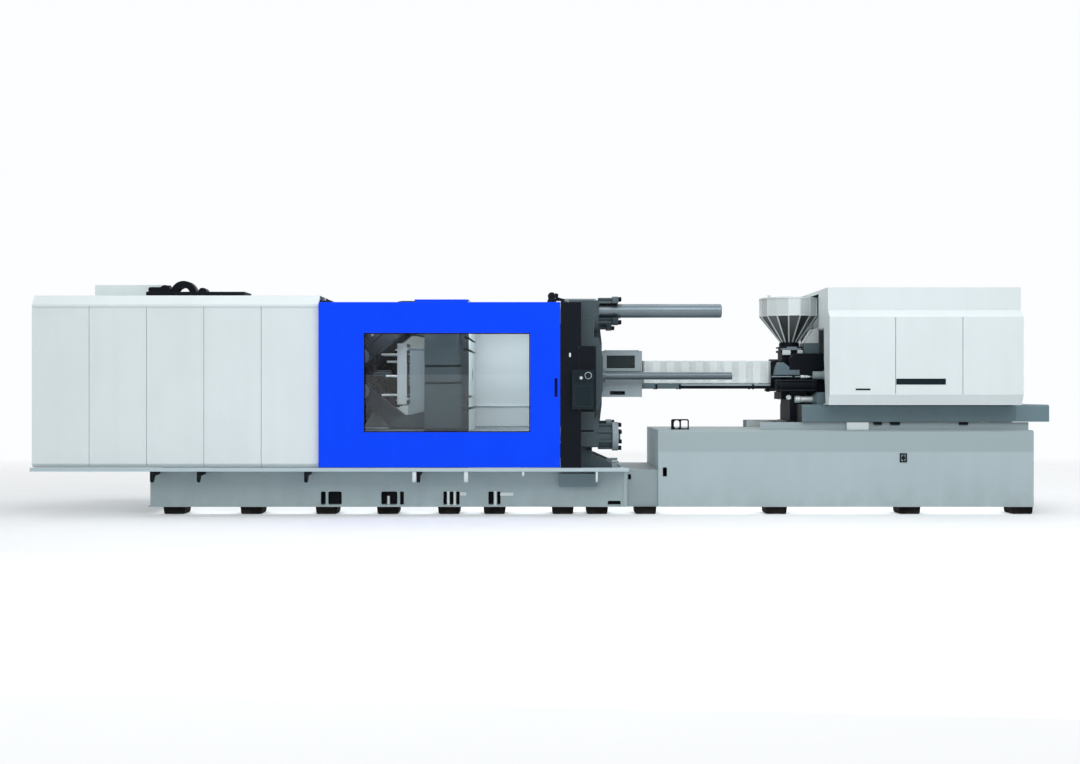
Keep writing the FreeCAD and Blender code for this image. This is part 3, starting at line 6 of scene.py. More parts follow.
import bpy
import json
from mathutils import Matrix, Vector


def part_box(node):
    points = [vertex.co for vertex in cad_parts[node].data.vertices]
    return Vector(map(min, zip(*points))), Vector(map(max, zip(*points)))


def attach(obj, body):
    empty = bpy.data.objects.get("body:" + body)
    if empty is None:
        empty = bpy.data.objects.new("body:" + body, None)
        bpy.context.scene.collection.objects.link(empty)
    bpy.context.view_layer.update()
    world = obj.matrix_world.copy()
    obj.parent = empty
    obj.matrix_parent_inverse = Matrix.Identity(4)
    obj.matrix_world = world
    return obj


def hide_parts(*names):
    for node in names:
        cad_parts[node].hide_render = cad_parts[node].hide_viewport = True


bl_info = {
    "name": "Moulding Machine Finish",
    "version": (1, 0, 0),
    "blender": (4, 5, 0),
    "location": "View3D > Sidebar > Machine",
    "description": "Paints a moulding machine, adds its fine fittings and sets up a studio round it",
    "category": "Object",
}

import functools
import json
import math

import bmesh
import bpy
import numpy as np
from mathutils import Vector

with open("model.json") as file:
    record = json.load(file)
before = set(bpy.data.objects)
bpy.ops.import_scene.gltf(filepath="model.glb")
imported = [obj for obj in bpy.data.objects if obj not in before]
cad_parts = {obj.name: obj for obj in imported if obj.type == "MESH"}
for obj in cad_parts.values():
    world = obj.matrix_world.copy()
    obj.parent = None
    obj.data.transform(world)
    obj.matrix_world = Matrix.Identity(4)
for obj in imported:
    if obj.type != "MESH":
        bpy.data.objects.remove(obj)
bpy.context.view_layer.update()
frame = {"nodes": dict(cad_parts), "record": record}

# ---------------- places taken from the solids
BARREL_Z = 1.615             # clamp and barrel centreline
TIE_CORNER = 0.725           # tie bar centres from the middle, both ways
NUT_RING_X = (0.7445, 0.8125)
PLATE_DEPTH = 0.131          # ejector plate's own thickness
DOOR_Y = 1.1495              # just under the doors' outer faces
PANEL_Y = -1.212             # front face of the control panel
COVER_Y = -0.9972            # just under the injection cover's front face
RAIL_BASE_Z = (0.9625, 1.051)
HOPPER_X = 2.928
HOPPER_SIDES = 16
HOPPER_CONE_Z = (1.994, 2.315)
HOPPER_CONE_R = (0.100, 0.351)
BED_FOLD_Z = 0.712
BEAM_X = (-4.566, 0.912)
BEAM_Z = (0.082, 0.506)
BEAM_Y = (-0.830, -0.805, -0.500)   # outer face, back of the outer plate, inner face
SKIN = 0.001                 # how far a mask reaches past the face that it marks
FAR = 99.0                   # the open end of a range


def span(solid, way):
    """The lowest and highest X, Y or Z of a solid."""
    low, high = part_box(solid)
    return low["XYZ".index(way)], high["XYZ".index(way)]


def grown(ends, by=SKIN):
    """A range made longer at both ends."""
    return ends[0] - by, ends[1] + by


# ---------------- colours and sizes
def colour(code):
    """Linear value of each screen value s: s / 12.92 up to 0.04045, then ((s + 0.055) / 1.055) ^ 2.4."""
    s = np.array([int(code[i:i + 2], 16) for i in (0, 2, 4)]) / 255
    return tuple(np.where(s <= 0.04045, s / 12.92, ((s + 0.055) / 1.055) ** 2.4))


def paint(name, code, description):
    """A colour that the user can change."""
    return bpy.props.FloatVectorProperty(name=name, description=description, default=colour(code), size=3,
                                         min=0.0, max=1.0, subtype="COLOR")


def length(name, default, description):
    """A length that the user can change."""
    return bpy.props.FloatProperty(name=name, description=description, default=default, min=0.0005,
                                   unit="LENGTH")


class MachineColours(bpy.types.PropertyGroup):
    """Colours of the paints and metals."""
    panel: paint("Panels", "D8E1E2", "White sheet covers")
    door: paint("Doors", "0445F8", "Front safety door")
    clamp_bed: paint("Clamp bed", "A3B4B8", "Paint of the clamp bed")
    injection_bed: paint("Injection bed", "A9B9BD", "Paint of the injection bed")
    casting: paint("Castings", "46545A", "Paint of the platens and nuts")
    carriage: paint("Carriage", "5E7279", "Paint of the injection carriage")
    guard: paint("Guards", "9AA9AE", "Paint of the guards, brackets and rails")
    black: paint("Black paint", "10161E", "Posts, housing and pumps")
    steel: paint("Bright steel", "7A868D", "Ground bars and machined faces")
    dark_steel: paint("Dark steel", "2C3238", "Blackened and oiled steel")
    stainless: paint("Stainless sheet", "E0E8E8", "Hopper and barrel cover")
    rubber: paint("Rubber", "0C0A0A", "Levelling pads and seals")
    plastic: paint("Black plastic", "0E2128", "Control panel and knobs")
    # pale colour of the painted highlight on the control panel's knob
    stop: paint("Stop button", "C3CCD0", "Press knob of the control panel")
    duct: paint("Duct", "6F838A", "Duct box and brackets on the clamp bed")


class MachineSizes(bpy.types.PropertyGroup):
    """Sizes of the fittings and the camera's place."""
    hole_pitch: length("Hole pitch", 0.0143, "Distance between the holes of the barrel cover")
    hole_width: length("Hole width", 0.0050, "Width of each hole of the barrel cover")
    cover_sheet: length("Cover sheet", 0.002, "Thickness of the barrel cover's sheet")
    thread_pitch: length("Ball screw pitch", 0.040, "Distance between the turns of the clamp's ball screw")
    flight_pitch: length("Flight pitch", 0.112, "Distance between the turns of the plasticising screw")
    camera_distance: length("Camera distance", 16.15, "Camera to the machine's middle plane")
    camera_height: length("Camera height", 1.425, "Camera above the floor")
    focal_length: bpy.props.FloatProperty(name="Focal length", description="Lens, in millimetres",
                                          default=44.44, min=10.0, unit="CAMERA")


# ---------------- surfaces: each returns its points and faces
AXES = {"x": (0, 1, 2), "y": (1, 0, 2), "z": (2, 0, 1)}


def grid_faces(rows, cols, wrap_rows=False, wrap_cols=False):
    """Quads (i, j), (i+1, j), (i+1, j+1), (i, j+1) of a grid; a wrapped side joins its end to its start."""
    i, j = np.meshgrid(np.arange(rows - (not wrap_rows)), np.arange(cols - (not wrap_cols)), indexing="ij")
    below, beside = (i + 1) % rows, (j + 1) % cols
    corners = [i * cols + j, below * cols + j, below * cols + beside, i * cols + beside]
    return np.stack(corners, -1).reshape(-1, 4)


def rectangle(a0, a1, b0, b1):
    """The four corners of a rectangle."""
    return np.array([(a0, b0), (a1, b0), (a1, b1), (a0, b1)], float)


def rounded(corners, reach, steps=4):
    """Each corner P rounded by (1-t)^2 A + 2t(1-t) P + t^2 B, with A and B at reach on its sides."""
    p = np.asarray(corners, float)
    back, on = np.roll(p, 1, 0) - p, np.roll(p, -1, 0) - p
    a = p + back / np.linalg.norm(back, axis=1, keepdims=True) * reach
    b = p + on / np.linalg.norm(on, axis=1, keepdims=True) * reach
    t = np.linspace(0, 1, steps + 1)[None, :, None]
    arcs = (1 - t) ** 2 * a[:, None] + 2 * t * (1 - t) * p[:, None] + t * t * b[:, None]
    return arcs.reshape(-1, 2)


def prism(outline, axis, start, end):
    """Point (u, v) = outline(u) across the axis, start + v (end - start) along it, with both ends closed."""
    outline = np.asarray(outline, float)
    along, first, second = AXES[axis]
    points = np.zeros((2, len(outline), 3))
    points[..., first], points[..., second] = outline[:, 0], outline[:, 1]
    points[:, :, along] = np.array([[start], [end]])
    ends = np.arange(2 * len(outline)).reshape(2, -1)
    return points.reshape(-1, 3), [grid_faces(2, len(outline), wrap_cols=True), ends]


def slab(x, y, z, reach=0.0, axis="y"):
    """A block between pairs of coordinates, with its edges along the axis rounded."""
    spans = (x, y, z)
    along, first, second = AXES[axis]
    outline = rectangle(*spans[first], *spans[second])
    return prism(rounded(outline, reach, 3) if reach else outline, axis, *spans[along])


def lathe(outline, axis, centre, sides=24, turn=0.0, closed=False):
    """Point (u, v) = centre + a(u) along the axis + r(u) (cos v, sin v) across it, for the outline (a, r)."""
    a, r = np.asarray(outline, float).T
    v = np.linspace(0, 2 * np.pi, sides, endpoint=False) + turn
    along, first, second = AXES[axis]
    points = np.zeros((len(a), sides, 3))
    points[..., along] = a[:, None]
    points[..., first] = r[:, None] * np.cos(v)
    points[..., second] = r[:, None] * np.sin(v)
    return (points + np.asarray(centre, float)).reshape(-1, 3), [grid_faces(len(a), sides, closed, True)]


def struts(starts, ends, side, up):
    """Straight bars: at each end the corners are the end point plus and minus the side and up half-widths."""
    starts, ends, side, up = np.broadcast_arrays(starts, ends, side, up)
    ring = np.stack([-side - up, side - up, side + up, -side + up], 1)
    points = np.stack([starts[:, None] + ring, ends[:, None] + ring], 1).reshape(-1, 3)
    one = np.concatenate([grid_faces(2, 4, wrap_cols=True), [[0, 1, 2, 3], [4, 5, 6, 7]]])
    return points, [(one[None] + 8 * np.arange(len(starts))[:, None, None]).reshape(-1, 4)]


def helix_band(profile, pitch, start, turns, steps=24):
    """Point (u, s) = (start + a(u) + pitch s, r(u) cos 2 pi s, z + r(u) sin 2 pi s) of a profile (a, r)."""
    a, r = np.asarray(profile, float).T
    s = np.linspace(0, turns, int(turns * steps) + 1)[:, None]
    y, z = r * np.cos(2 * np.pi * s), BARREL_Z + r * np.sin(2 * np.pi * s)
    points = np.stack([start + a + pitch * s, y, z], -1)
    ring = np.arange(len(a))
    ends = np.stack([ring, ring + (len(s) - 1) * len(a)])
    return points.reshape(-1, 3), [grid_faces(len(s), len(a), wrap_cols=True), ends]


def dish(x, z, y, depth, power=6, count=12):
    """A recess: y(u, v) = y + depth (1 - |u|^n)(1 - |v|^n) over the rectangle, for u and v from -1 to 1."""
    u, v = np.meshgrid(np.linspace(-1, 1, count), np.linspace(-1, 1, count), indexing="ij")
    hollow = y + depth * (1 - np.abs(u) ** power) * (1 - np.abs(v) ** power)
    points = np.stack([(x[0] + x[1]) / 2 + u * (x[1] - x[0]) / 2, hollow,
                       (z[0] + z[1]) / 2 + v * (z[1] - z[0]) / 2], -1)
    return points.reshape(-1, 3), [grid_faces(count, count)]


def holed_plate(first, second, axis, start, end):
    """A plate across the axis round a hole: rings first, second at start, then second, first at end."""
    along, across, up = AXES[axis]
    points = np.zeros((4, len(first), 3))
    points[..., along] = np.array([[start], [start], [end], [end]])
    points[..., across], points[..., up] = np.moveaxis([first, second, second, first], -1, 0)
    return points.reshape(-1, 3), [grid_faces(4, len(first), True, True)]


def seal(x, z, width, y0, y1):
    """A rectangular frame of the width, inside the rectangle."""
    outer, inner = (rectangle(*grown(x, -d), *grown(z, -d)) for d in (0.0005, width))
    return holed_plate(outer, inner, "y", y0, y1)


def windowed_plate(xs, zs, holes, front, back, reach=0.024, steps=4):
    """A plate across Y on the grid (x, z): each hole's rounded outline is joined to its cell's corners."""
    rows, cols = len(xs), len(zs)
    grid = np.stack(np.meshgrid(xs, zs, indexing="ij"), -1).reshape(-1, 2)
    cells = grid_faces(rows, cols)
    holes = np.asarray(holes, float)
    narrow = np.minimum(holes[:, 1] - holes[:, 0], holes[:, 3] - holes[:, 2])
    outlines = np.array([rounded(rectangle(*hole), min(reach, 0.3 * wide), steps)
                         for hole, wide in zip(holes, narrow)])
    middles = outlines.mean(1)[:, None]
    own = ((middles > grid[cells[:, 0]]) & (middles < grid[cells[:, 2]])).all(2).argmax(1)
    ring = len(grid) + np.arange(outlines[..., 0].size).reshape(len(holes), -1)
    corner, arc = cells[own], ring.reshape(len(holes), 4, steps + 1)
    fans = np.stack([np.repeat(corner[:, :, None], steps, 2), arc[:, :, :-1], arc[:, :, 1:]], -1)
    sides = np.stack([arc[:, :, -1], np.roll(arc[:, :, 0], -1, 1), np.roll(corner, -1, 1), corner], -1)
    face = [np.delete(cells, own, 0), fans.reshape(-1, 3), sides.reshape(-1, 4)]
    flat = np.concatenate([grid, outlines.reshape(-1, 2)])
    count = len(flat)
    rim = np.concatenate([np.arange(rows) * cols, (rows - 1) * cols + np.arange(1, cols),
                          np.arange(rows - 2, -1, -1) * cols + cols - 1, np.arange(cols - 2, 0, -1)])
    walls = [np.stack([loop, np.roll(loop, -1, -1), np.roll(loop, -1, -1) + count, loop + count], -1)
             for loop in (ring, rim)]
    points = np.concatenate([np.insert(flat, 1, y, axis=1) for y in (front, back)])
    return points, face + [f + count for f in face] + [wall.reshape(-1, 4) for wall in walls]


def copies(part, places):
    """The part repeated: every point p of it becomes p + place(i)."""
    points, faces = part
    places = np.asarray(places, float)
    shift = len(points) * np.arange(len(places))
    moved = (points[None] + places[:, None]).reshape(-1, 3)
    return moved, [(f[None] + shift[:, None, None]).reshape(-1, f.shape[1]) for f in faces]


def both(*parts):
    """Each part and its mirror image on the other side of the machine."""
    return [side for points, faces in parts for side in ((points, faces), (points * [1.0, -1.0, 1.0], faces))]


def piece(name, parts, body, slot, replaces=(), finish=None, thickness=0.0, bevel=0.0):
    """One object of several surfaces: doubles merged, faces turned out, smooth but for sharp edges."""
    points, faces, start = [], [], 0
    for part_points, part_faces in parts:
        points.append(part_points)
        faces += [row for f in part_faces for row in (f + start).tolist()]
        start += len(part_points)
    mesh = bpy.data.meshes.new(name)
    mesh.from_pydata(np.concatenate(points), [], faces)
    merged = bmesh.new()
    merged.from_mesh(mesh)
    bmesh.ops.remove_doubles(merged, verts=merged.verts, dist=1e-5)
    bmesh.ops.recalc_face_normals(merged, faces=merged.faces)
    merged.to_mesh(mesh)
    merged.free()
    mesh.validate()
    mesh.shade_smooth()
    mesh.set_sharp_from_angle(angle=math.radians(35))
    mesh.materials.append(bpy.data.materials[finish or slot])
    made = bpy.data.objects.new(name, mesh)
    bpy.context.scene.collection.objects.link(made)
    if thickness:
        wall = made.modifiers.new("wall", "SOLIDIFY")
        wall.thickness = thickness
        wall.offset = -1.0
    if bevel:
        edge = made.modifiers.new("edge", "BEVEL")
        edge.width = bevel
        edge.segments = 2
        edge.limit_method = "ANGLE"
        edge.angle_limit = math.radians(40)
    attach(made, body)
    if replaces:
        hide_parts(*replaces)


# ---------------- shader graphs
WHITE = (1.0, 1.0, 1.0, 1.0)
SOIL = (0.105, 0.095, 0.08, 1.0)
# radius of the edges lightened by wear and by a painted highlight
WEAR_AND_HIGHLIGHT_RADIUS = 0.006
SURFACE = {"Color": WHITE, "Roughness": 0.0, "Height": 0.0}   # what a group gives to a shader


def rgba(value, factor=1.0):
    """A colour times a factor, with its alpha of 1."""
    return (*(np.array(value) * factor), 1.0)


class Graph:
    """Adds nodes to one shader tree and links them."""

    def __init__(self, tree):
        """Keeps the tree."""
        self.tree = tree

    def link(self, output, target):
        """Joins an output to an input."""
        self.tree.links.new(output, target)

    def node(self, kind, settings=None, **inputs):
        """A node's outputs; an input given a socket is linked. i0, i1 are inputs by number, _ is a space."""
        made = self.tree.nodes.new("ShaderNode" + kind)
        for key, value in (settings or {}).items():
            setattr(made, key, value)
        for key, value in inputs.items():
            numbered = key[0] == "i" and key[1:].isdigit()
            socket = made.inputs[int(key[1:]) if numbered else key.replace("_", " ")]
            if isinstance(value, bpy.types.NodeSocket):
                self.link(value, socket)
            else:
                socket.default_value = value
        return made.outputs

    def maths(self, operation, *values):
        """The result of a Math node."""
        inputs = {"i%d" % i: value for i, value in enumerate(values)}
        return self.node("Math", {"operation": operation}, **inputs)[0]

    def add(self, a, b):
        """The sum of two values."""
        return self.maths("ADD", a, b)

    def product(self, *values):
        """The values multiplied together."""
        return functools.reduce(lambda a, b: self.maths("MULTIPLY", a, b), values)

    def distance(self, a, b):
        """The root of a^2 + b^2."""
        return self.maths("SQRT", self.add(self.product(a, a), self.product(b, b)))

    def mix(self, factor, a, b):
        """A mix of two colours; i0, i6 and i7 are the node's factor and colours."""
        return self.node("Mix", {"data_type": "RGBA"}, i0=factor, i6=a, i7=b)[2]

    def spread(self, value, low, high, to_low=0.0, to_high=1.0):
        """A value's range carried over to another, clamped."""
        return self.node("MapRange", i0=value, i1=low, i2=high, i3=to_low, i4=to_high)[0]

    def within(self, value, low, high):
        """1 where the value lies between two others, else 0."""
        return self.product(self.maths("GREATER_THAN", value, low), self.maths("LESS_THAN", value, high))

    def noise(self, vector, scale, detail, roughness=0.5):
        """Smooth noise from 0 to 1."""
        return self.node("TexNoise", Vector=vector, Scale=scale, Detail=detail, Roughness=roughness)[0]

    def see_through(self, factor, shader, tint=WHITE):
        """Shows the shader, and what is behind it where the factor is 1."""
        clear = self.node("BsdfTransparent", Color=tint)[0]
        mixed = self.node("MixShader", i0=factor, i1=shader.outputs[0], i2=clear)[0]
        self.link(mixed, self.tree.nodes["Material Output"].inputs["Surface"])

    def group(self, name, **inputs):
        """The outputs of a shader group."""
        return self.node("Group", {"node_tree": bpy.data.node_groups[name]}, **inputs)

    def place(self):
        """A point's place on the piece."""
        return self.node("TexCoord")["Object"]

    def axes(self):
        """A point's X, Y and Z, and A, its distance from the machine's middle plane."""
        split = self.node("SeparateXYZ", Vector=self.place())
        return {"X": split["X"], "Y": split["Y"], "Z": split["Z"], "A": self.maths("ABSOLUTE", split["Y"])}

    def mask(self, ranges):
        """1 inside all the ranges of X, Y, Z and A, else 0; the range up is a soft rise along Z instead."""
        axes = self.axes()
        return self.product(*(self.spread(axes["Z"], *ends) if way == "up" else self.within(axes[way], *ends)
                              for way, ends in ranges.items()))


def new_group(name, inputs, outputs):
    """A shader group: its graph, given sockets and output sockets. A value's size gives its kind."""
    tree = bpy.data.node_groups.new(name, "ShaderNodeTree")
    kinds = {1: "NodeSocketFloat", 3: "NodeSocketVector", 4: "NodeSocketColor"}
    for side, sockets in (("INPUT", inputs), ("OUTPUT", outputs)):
        for label, value in sockets.items():
            made = tree.interface.new_socket(name=label, in_out=side, socket_type=kinds[np.size(value)])
            if side == "INPUT":
                made.default_value = value
    return Graph(tree), tree.nodes.new("NodeGroupInput").outputs, tree.nodes.new("NodeGroupOutput").inputs


def wear_and_highlight_group():
    """Edge wear and painted edge highlight: 1 where the surface rounded off by the radius leans away from the
    true one, in specks.
    """
    graph, given, out = new_group("Edge wear", {"Radius": WEAR_AND_HIGHLIGHT_RADIUS}, {"Mask": 0.0})
    soft = graph.node("Bevel", {"samples": 4}, Radius=given["Radius"])[0]
    true = graph.node("NewGeometry")["Normal"]
    lean = graph.node("VectorMath", {"operation": "DOT_PRODUCT"}, i0=soft, i1=true)["Value"]
    specks = graph.spread(graph.noise(graph.place(), 28.0, 4.0), 0.35, 0.62, 0.25, 1.0)
    graph.link(graph.product(graph.spread(lean, 0.995, 0.86), specks), out["Mask"])


def paint_group():
    """Paint: slow shifts of colour, light edges of wear and painted highlight, soil near the floor, orange
    peel as height, uneven gloss.
    """
    graph, given, out = new_group("Paint", {
        "Color": WHITE, "Shade": WHITE, "Edge": WHITE, "Peel Scale": 160.0, "Roughness": 0.4,
        "Edge Amount": 0.5, "Soil Height": 0.5, "Soil Amount": 0.2}, SURFACE)
    place = graph.place()
    stretched = graph.node("Mapping", Vector=place, Scale=(7.0, 7.0, 0.7))[0]
    runs = graph.noise(stretched, 1.0, 5.0, 0.6)
    tone = graph.spread(graph.add(graph.noise(place, 1.1, 3.0), graph.product(runs, 0.6)), 0.6, 1.0)
    clean = graph.mix(tone, given["Color"], given["Shade"])
    # lighter edges, partly wear and partly a painted highlight
    wear_and_highlight = graph.product(graph.group("Edge wear", Radius=WEAR_AND_HIGHLIGHT_RADIUS)[0], given["Edge Amount"])
    worn_and_highlighted = graph.mix(wear_and_highlight, clean, given["Edge"])
    low = graph.spread(graph.maths("DIVIDE", graph.axes()["Z"], given["Soil Height"]), 0.0, 1.0, 1.0, 0.0)
    smears = graph.spread(graph.noise(place, 5.0, 7.0, 0.65), 0.36, 0.66)
    soil = graph.product(graph.maths("POWER", low, 2.0), smears, given["Soil Amount"])
    graph.link(graph.mix(soil, worn_and_highlighted, SOIL), out["Color"])
    uneven = graph.add(given["Roughness"], graph.product(graph.maths("SUBTRACT", runs, 0.5), 0.18))
    graph.link(graph.add(uneven, graph.product(soil, 0.4)), out["Roughness"])
    graph.link(graph.noise(place, given["Peel Scale"], 2.0), out["Height"])


def metal_group():
    """Worked metal: grain is noise on coordinates times the stretch, so it is long where that is small."""
    graph, given, out = new_group("Worked metal", {
        "Color": WHITE, "Shade": WHITE, "Stretch": (400.0, 6.0, 6.0), "Roughness": 0.3}, SURFACE)
    place = graph.place()
    pulled = graph.node("VectorMath", {"operation": "MULTIPLY"}, i0=place, i1=given["Stretch"])[0]
    grain = graph.noise(pulled, 1.0, 4.0, 0.6)
    tone = graph.spread(graph.add(graph.product(grain, 0.7), graph.noise(place, 3.0, 4.0)), 0.6, 1.1)
    graph.link(graph.mix(tone, given["Color"], given["Shade"]), out["Color"])
    shift = graph.product(graph.maths("SUBTRACT", tone, 0.5), 0.16)
    graph.link(graph.add(given["Roughness"], shift), out["Roughness"])
    graph.link(grain, out["Height"])


# ---------------- materials
PAINTS = {
    # slot: colour, roughness, peel, bump, edges lightened by wear and painted highlight, soil, its height,
    # edges' lightness, shade, gloss
    "panel_white": ("panel", 0.38, 190.0, 0.06, 0.90, 0.12, 0.80, 0.75, 0.955, 0.35),
    "door_blue": ("door", 0.40, 190.0, 0.06, 0.30, 0.10, 0.80, 0.20, 0.94, 0.06),
    "bed_grey": ("clamp_bed", 0.50, 110.0, 0.20, 0.40, 0.30, 0.50, 0.45, 0.93, 0.35),
    "duct_grey": ("duct", 0.50, 110.0, 0.20, 0.40, 0.30, 0.50, 0.45, 0.93, 0.35),
    "bed_light_grey": ("injection_bed", 0.48, 120.0, 0.15, 0.60, 0.25, 0.50, 0.45, 0.93, 0.35),
    "casting_grey": ("casting", 0.50, 70.0, 0.30, 0.35, 0.20, 0.50, 0.45, 0.93, 0.20),
    "carriage_grey": ("carriage", 0.46, 110.0, 0.20, 0.50, 0.15, 0.50, 0.45, 0.93, 0.35),
    "guard_grey": ("guard", 0.42, 150.0, 0.10, 0.50, 0.15, 0.50, 0.45, 0.93, 0.35),
    "black_paint": ("black", 0.50, 120.0, 0.15, 0.25, 0.15, 0.50, 0.20, 0.80, 0.10),
    "foot_rubber": ("rubber", 0.80, 300.0, 0.40, 0.20, 0.30, 0.12, 0.20, 0.70, 0.08),
    "red_plastic": ("plastic", 0.35, 500.0, 0.03, 0.20, 0.00, 0.50, 0.45, 0.93, 0.20),
    "black_plastic": ("plastic", 0.30, 700.0, 0.08, 0.25, 0.05, 0.50, 0.20, 0.85, 0.15),
}
METALS = {
    # slot: colour, roughness, grain's stretch, bump, shade, metallic
    "bare_steel": ("steel", 0.36, (90.0, 5.0, 5.0), 0.04, 0.86, 0.9),
    "dark_steel": ("dark_steel", 0.42, (90.0, 20.0, 20.0), 0.10, 0.60, 0.7),
    "stainless": ("stainless", 0.36, (9.0, 9.0, 90.0), 0.03, 0.90, 0.3),
}
KNOB_AXIS = (0.372, 1.560)   # X and Z
# radius of the painted highlight on the knob
KNOB_HIGHLIGHT_RADIUS = 0.017


def overlays(colours):
    """What lies over parts of a finish, by slot: a colour, its factor and the ranges for Graph.mask."""
    platen = span("moving_platen", "X")
    bed_end, slab_end = (span(solid, "X")[0] for solid in ("injection_bed", "carriage_base"))
    rods, shift, track, rails = (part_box(solid) for solid in
                                 ("ejector_guide_rods", "shift_rods", "carriage_rails", "door_rails"))
    plate_end = span("ejector_plate", "X")[0] + PLATE_DEPTH
    inner = grown(platen, 0.01)
    return {
        # the moving platen, darker than the fixed one as painted shade for its place inside the guard; its
        # flange at the mould; its foot, darker still as a painted shadow; the rings of the lower nuts
        "casting_grey": [
            (colours.casting, 0.62, {"X": inner}),
            (colours.casting, 0.30, {"X": (platen[1] - 0.089, platen[1] + SKIN)}),
            (colours.casting, 0.25, {"X": inner, "Z": (-FAR, 0.99)}),
            (colours.guard, 0.8, {"X": NUT_RING_X, "Z": (-FAR, BARREL_Z)}),
        ],
        # painted shade inside the front handle's recess
        "door_blue": [(colours.door, 0.12, {"X": (0.070, 0.114), "Y": (-DOOR_Y - 0.0004, FAR),
                                            "Z": (1.34, 1.565)})],
        # the ejector's plate and its frame; the upper rail before the panels and the sill
        "guard_grey": [
            (colours.panel, 0.8, {"A": (-FAR, 0.4), "X": (plate_end - 0.5, plate_end)}),
            (colours.guard, 0.85, {"A": (-FAR, 0.4), "X": (plate_end, span("ejector_frame", "X")[1] + 0.6)}),
            (colours.panel, 1.0, {"X": (rails[0][0] - 0.01, span("cover_roof", "X")[1]),
                                  "Z": (2.30, rails[1][2] + SKIN)}),
            (colours.guard, 1.35, {"A": (1.0, FAR), "Z": (rails[0][2] - SKIN, 0.60)}),
        ],
        # the stretch that joins the two beds, darker as a painted shadow of the sill over it
        "bed_grey": [(colours.clamp_bed, 0.70, {"X": (BEAM_X[1] + SKIN, bed_end - SKIN)})],
        # the side above the fold, darker as a painted shadow of the carriage over it, and the end by the
        # clamp, lighter as painted light on that face
        "bed_light_grey": [
            (colours.injection_bed, 0.83, {"up": (BED_FOLD_Z - 0.012, BED_FOLD_Z + 0.012)}),
            (colours.injection_bed, 1.5, {"X": (bed_end - 2 * SKIN, bed_end + 2 * SKIN)}),
        ],
        # the free end past the cover, lighter as painted light where the cover shades it no longer, and the
        # end face by the column
        "carriage_grey": [
            (colours.carriage, 1.25, {"X": (5.43, FAR)}),
            (colours.black, 0.6, {"X": (slab_end - SKIN, slab_end + 1.5 * SKIN), "Z": (1.0565, FAR)}),
        ],
        # the ground faces of the carriage's rails
        "dark_steel": [(colours.stainless, 0.85, {"X": (track[0][0] - SKIN, FAR), "A": (0.52, 0.60),
                                                  "Z": (track[0][2] + SKIN / 2, track[1][2] + SKIN)})],
        # the shift rods, and the ejector's guide rods
        "bare_steel": [
            (colours.steel, 0.72, {"X": (shift[0][0] - SKIN, shift[1][0] + SKIN),
                                   "A": (shift[1][1] - 0.13, shift[1][1] + SKIN)}),
            (colours.panel, 1.0, {"X": (rods[0][0] - SKIN, rods[0][0] + 0.30), "A": (-FAR, rods[1][1] + SKIN),
                                  "Z": (rods[0][2] - SKIN, rods[1][2] + SKIN)}),
        ],
    }


def new_material(name):
    """An empty material: its graph and its Principled shader."""
    made = bpy.data.materials.new(name)
    made.use_nodes = True
    return Graph(made.node_tree), made.node_tree.nodes["Principled BSDF"]


def surface(graph, shader, group, layers, strength, distance):
    """Carries a group's colour under the layers, its roughness and its height to the shader."""
    mixed = group["Color"]
    for over, factor, ranges in layers:
        mixed = graph.mix(graph.mask(ranges), mixed, rgba(over, factor))
    bump = graph.node("Bump", Strength=strength, Distance=distance, Height=group["Height"])[0]
    graph.link(mixed, shader.inputs["Base Color"])
    graph.link(group["Roughness"], shader.inputs["Roughness"])
    graph.link(bump, shader.inputs["Normal"])
    return graph, shader, mixed


def painted(slot, base, roughness, peel, bump, edge, soil, soil_height, lift, shade, gloss, layers):
    """A painted metal: edge is how far its edges go to a lighter tone, as wear and painted highlight; lift is
    how light that tone is.
    """
    graph, shader = new_material(slot)
    shader.inputs["Specular IOR Level"].default_value = gloss
    base = np.array(base)
    group = graph.group("Paint", Color=rgba(base), Shade=rgba(base, shade),
                        Edge=rgba(base + (1 - base) * lift), Peel_Scale=peel, Roughness=roughness,
                        Edge_Amount=edge, Soil_Height=soil_height, Soil_Amount=soil)
    return surface(graph, shader, group, layers, bump, 0.002)


def worked(slot, base, roughness, stretch, bump, shade, metallic, layers):
    """A bare metal with the marks of its making."""
    graph, shader = new_material(slot)
    shader.inputs["Metallic"].default_value = metallic
    group = graph.group("Worked metal", Color=rgba(base), Shade=rgba(base, shade), Stretch=stretch,
                        Roughness=roughness)
    return surface(graph, shader, group, layers, bump, 0.001)


def ground_mould_faces(colours, graph, shader, mixed):
    """Both platens' faces to the mould as ground steel."""
    x, moving, fixed = graph.axes()["X"], span("moving_platen", "X")[1], span("fixed_platen", "X")[0]
    bare = graph.add(graph.within(x, moving - 1.5 * SKIN, moving + SKIN),
                     graph.within(x, fixed - SKIN, fixed + 1.5 * SKIN))
    steel = graph.group("Worked metal", Color=rgba(colours.panel), Shade=rgba(colours.panel, 0.8),
                        Stretch=(3.0, 9.0, 90.0), Roughness=0.32)
    graph.link(graph.mix(bare, mixed, steel["Color"]), shader.inputs["Base Color"])
    graph.link(graph.product(bare, 0.5), shader.inputs["Metallic"])


def knob_painted_highlight(colours, graph, shader, mixed):
    """A painted highlight on the dark knob: a pale disc where the distance from its axis is under the
    highlight's radius.
    """
    axes = graph.axes()
    off = [graph.maths("SUBTRACT", axes[way], middle) for way, middle in zip("XZ", KNOB_AXIS)]
    cap = graph.maths("LESS_THAN", graph.distance(*off), KNOB_HIGHLIGHT_RADIUS)
    graph.link(graph.mix(cap, mixed, rgba(colours.stop)), shader.inputs["Base Color"])


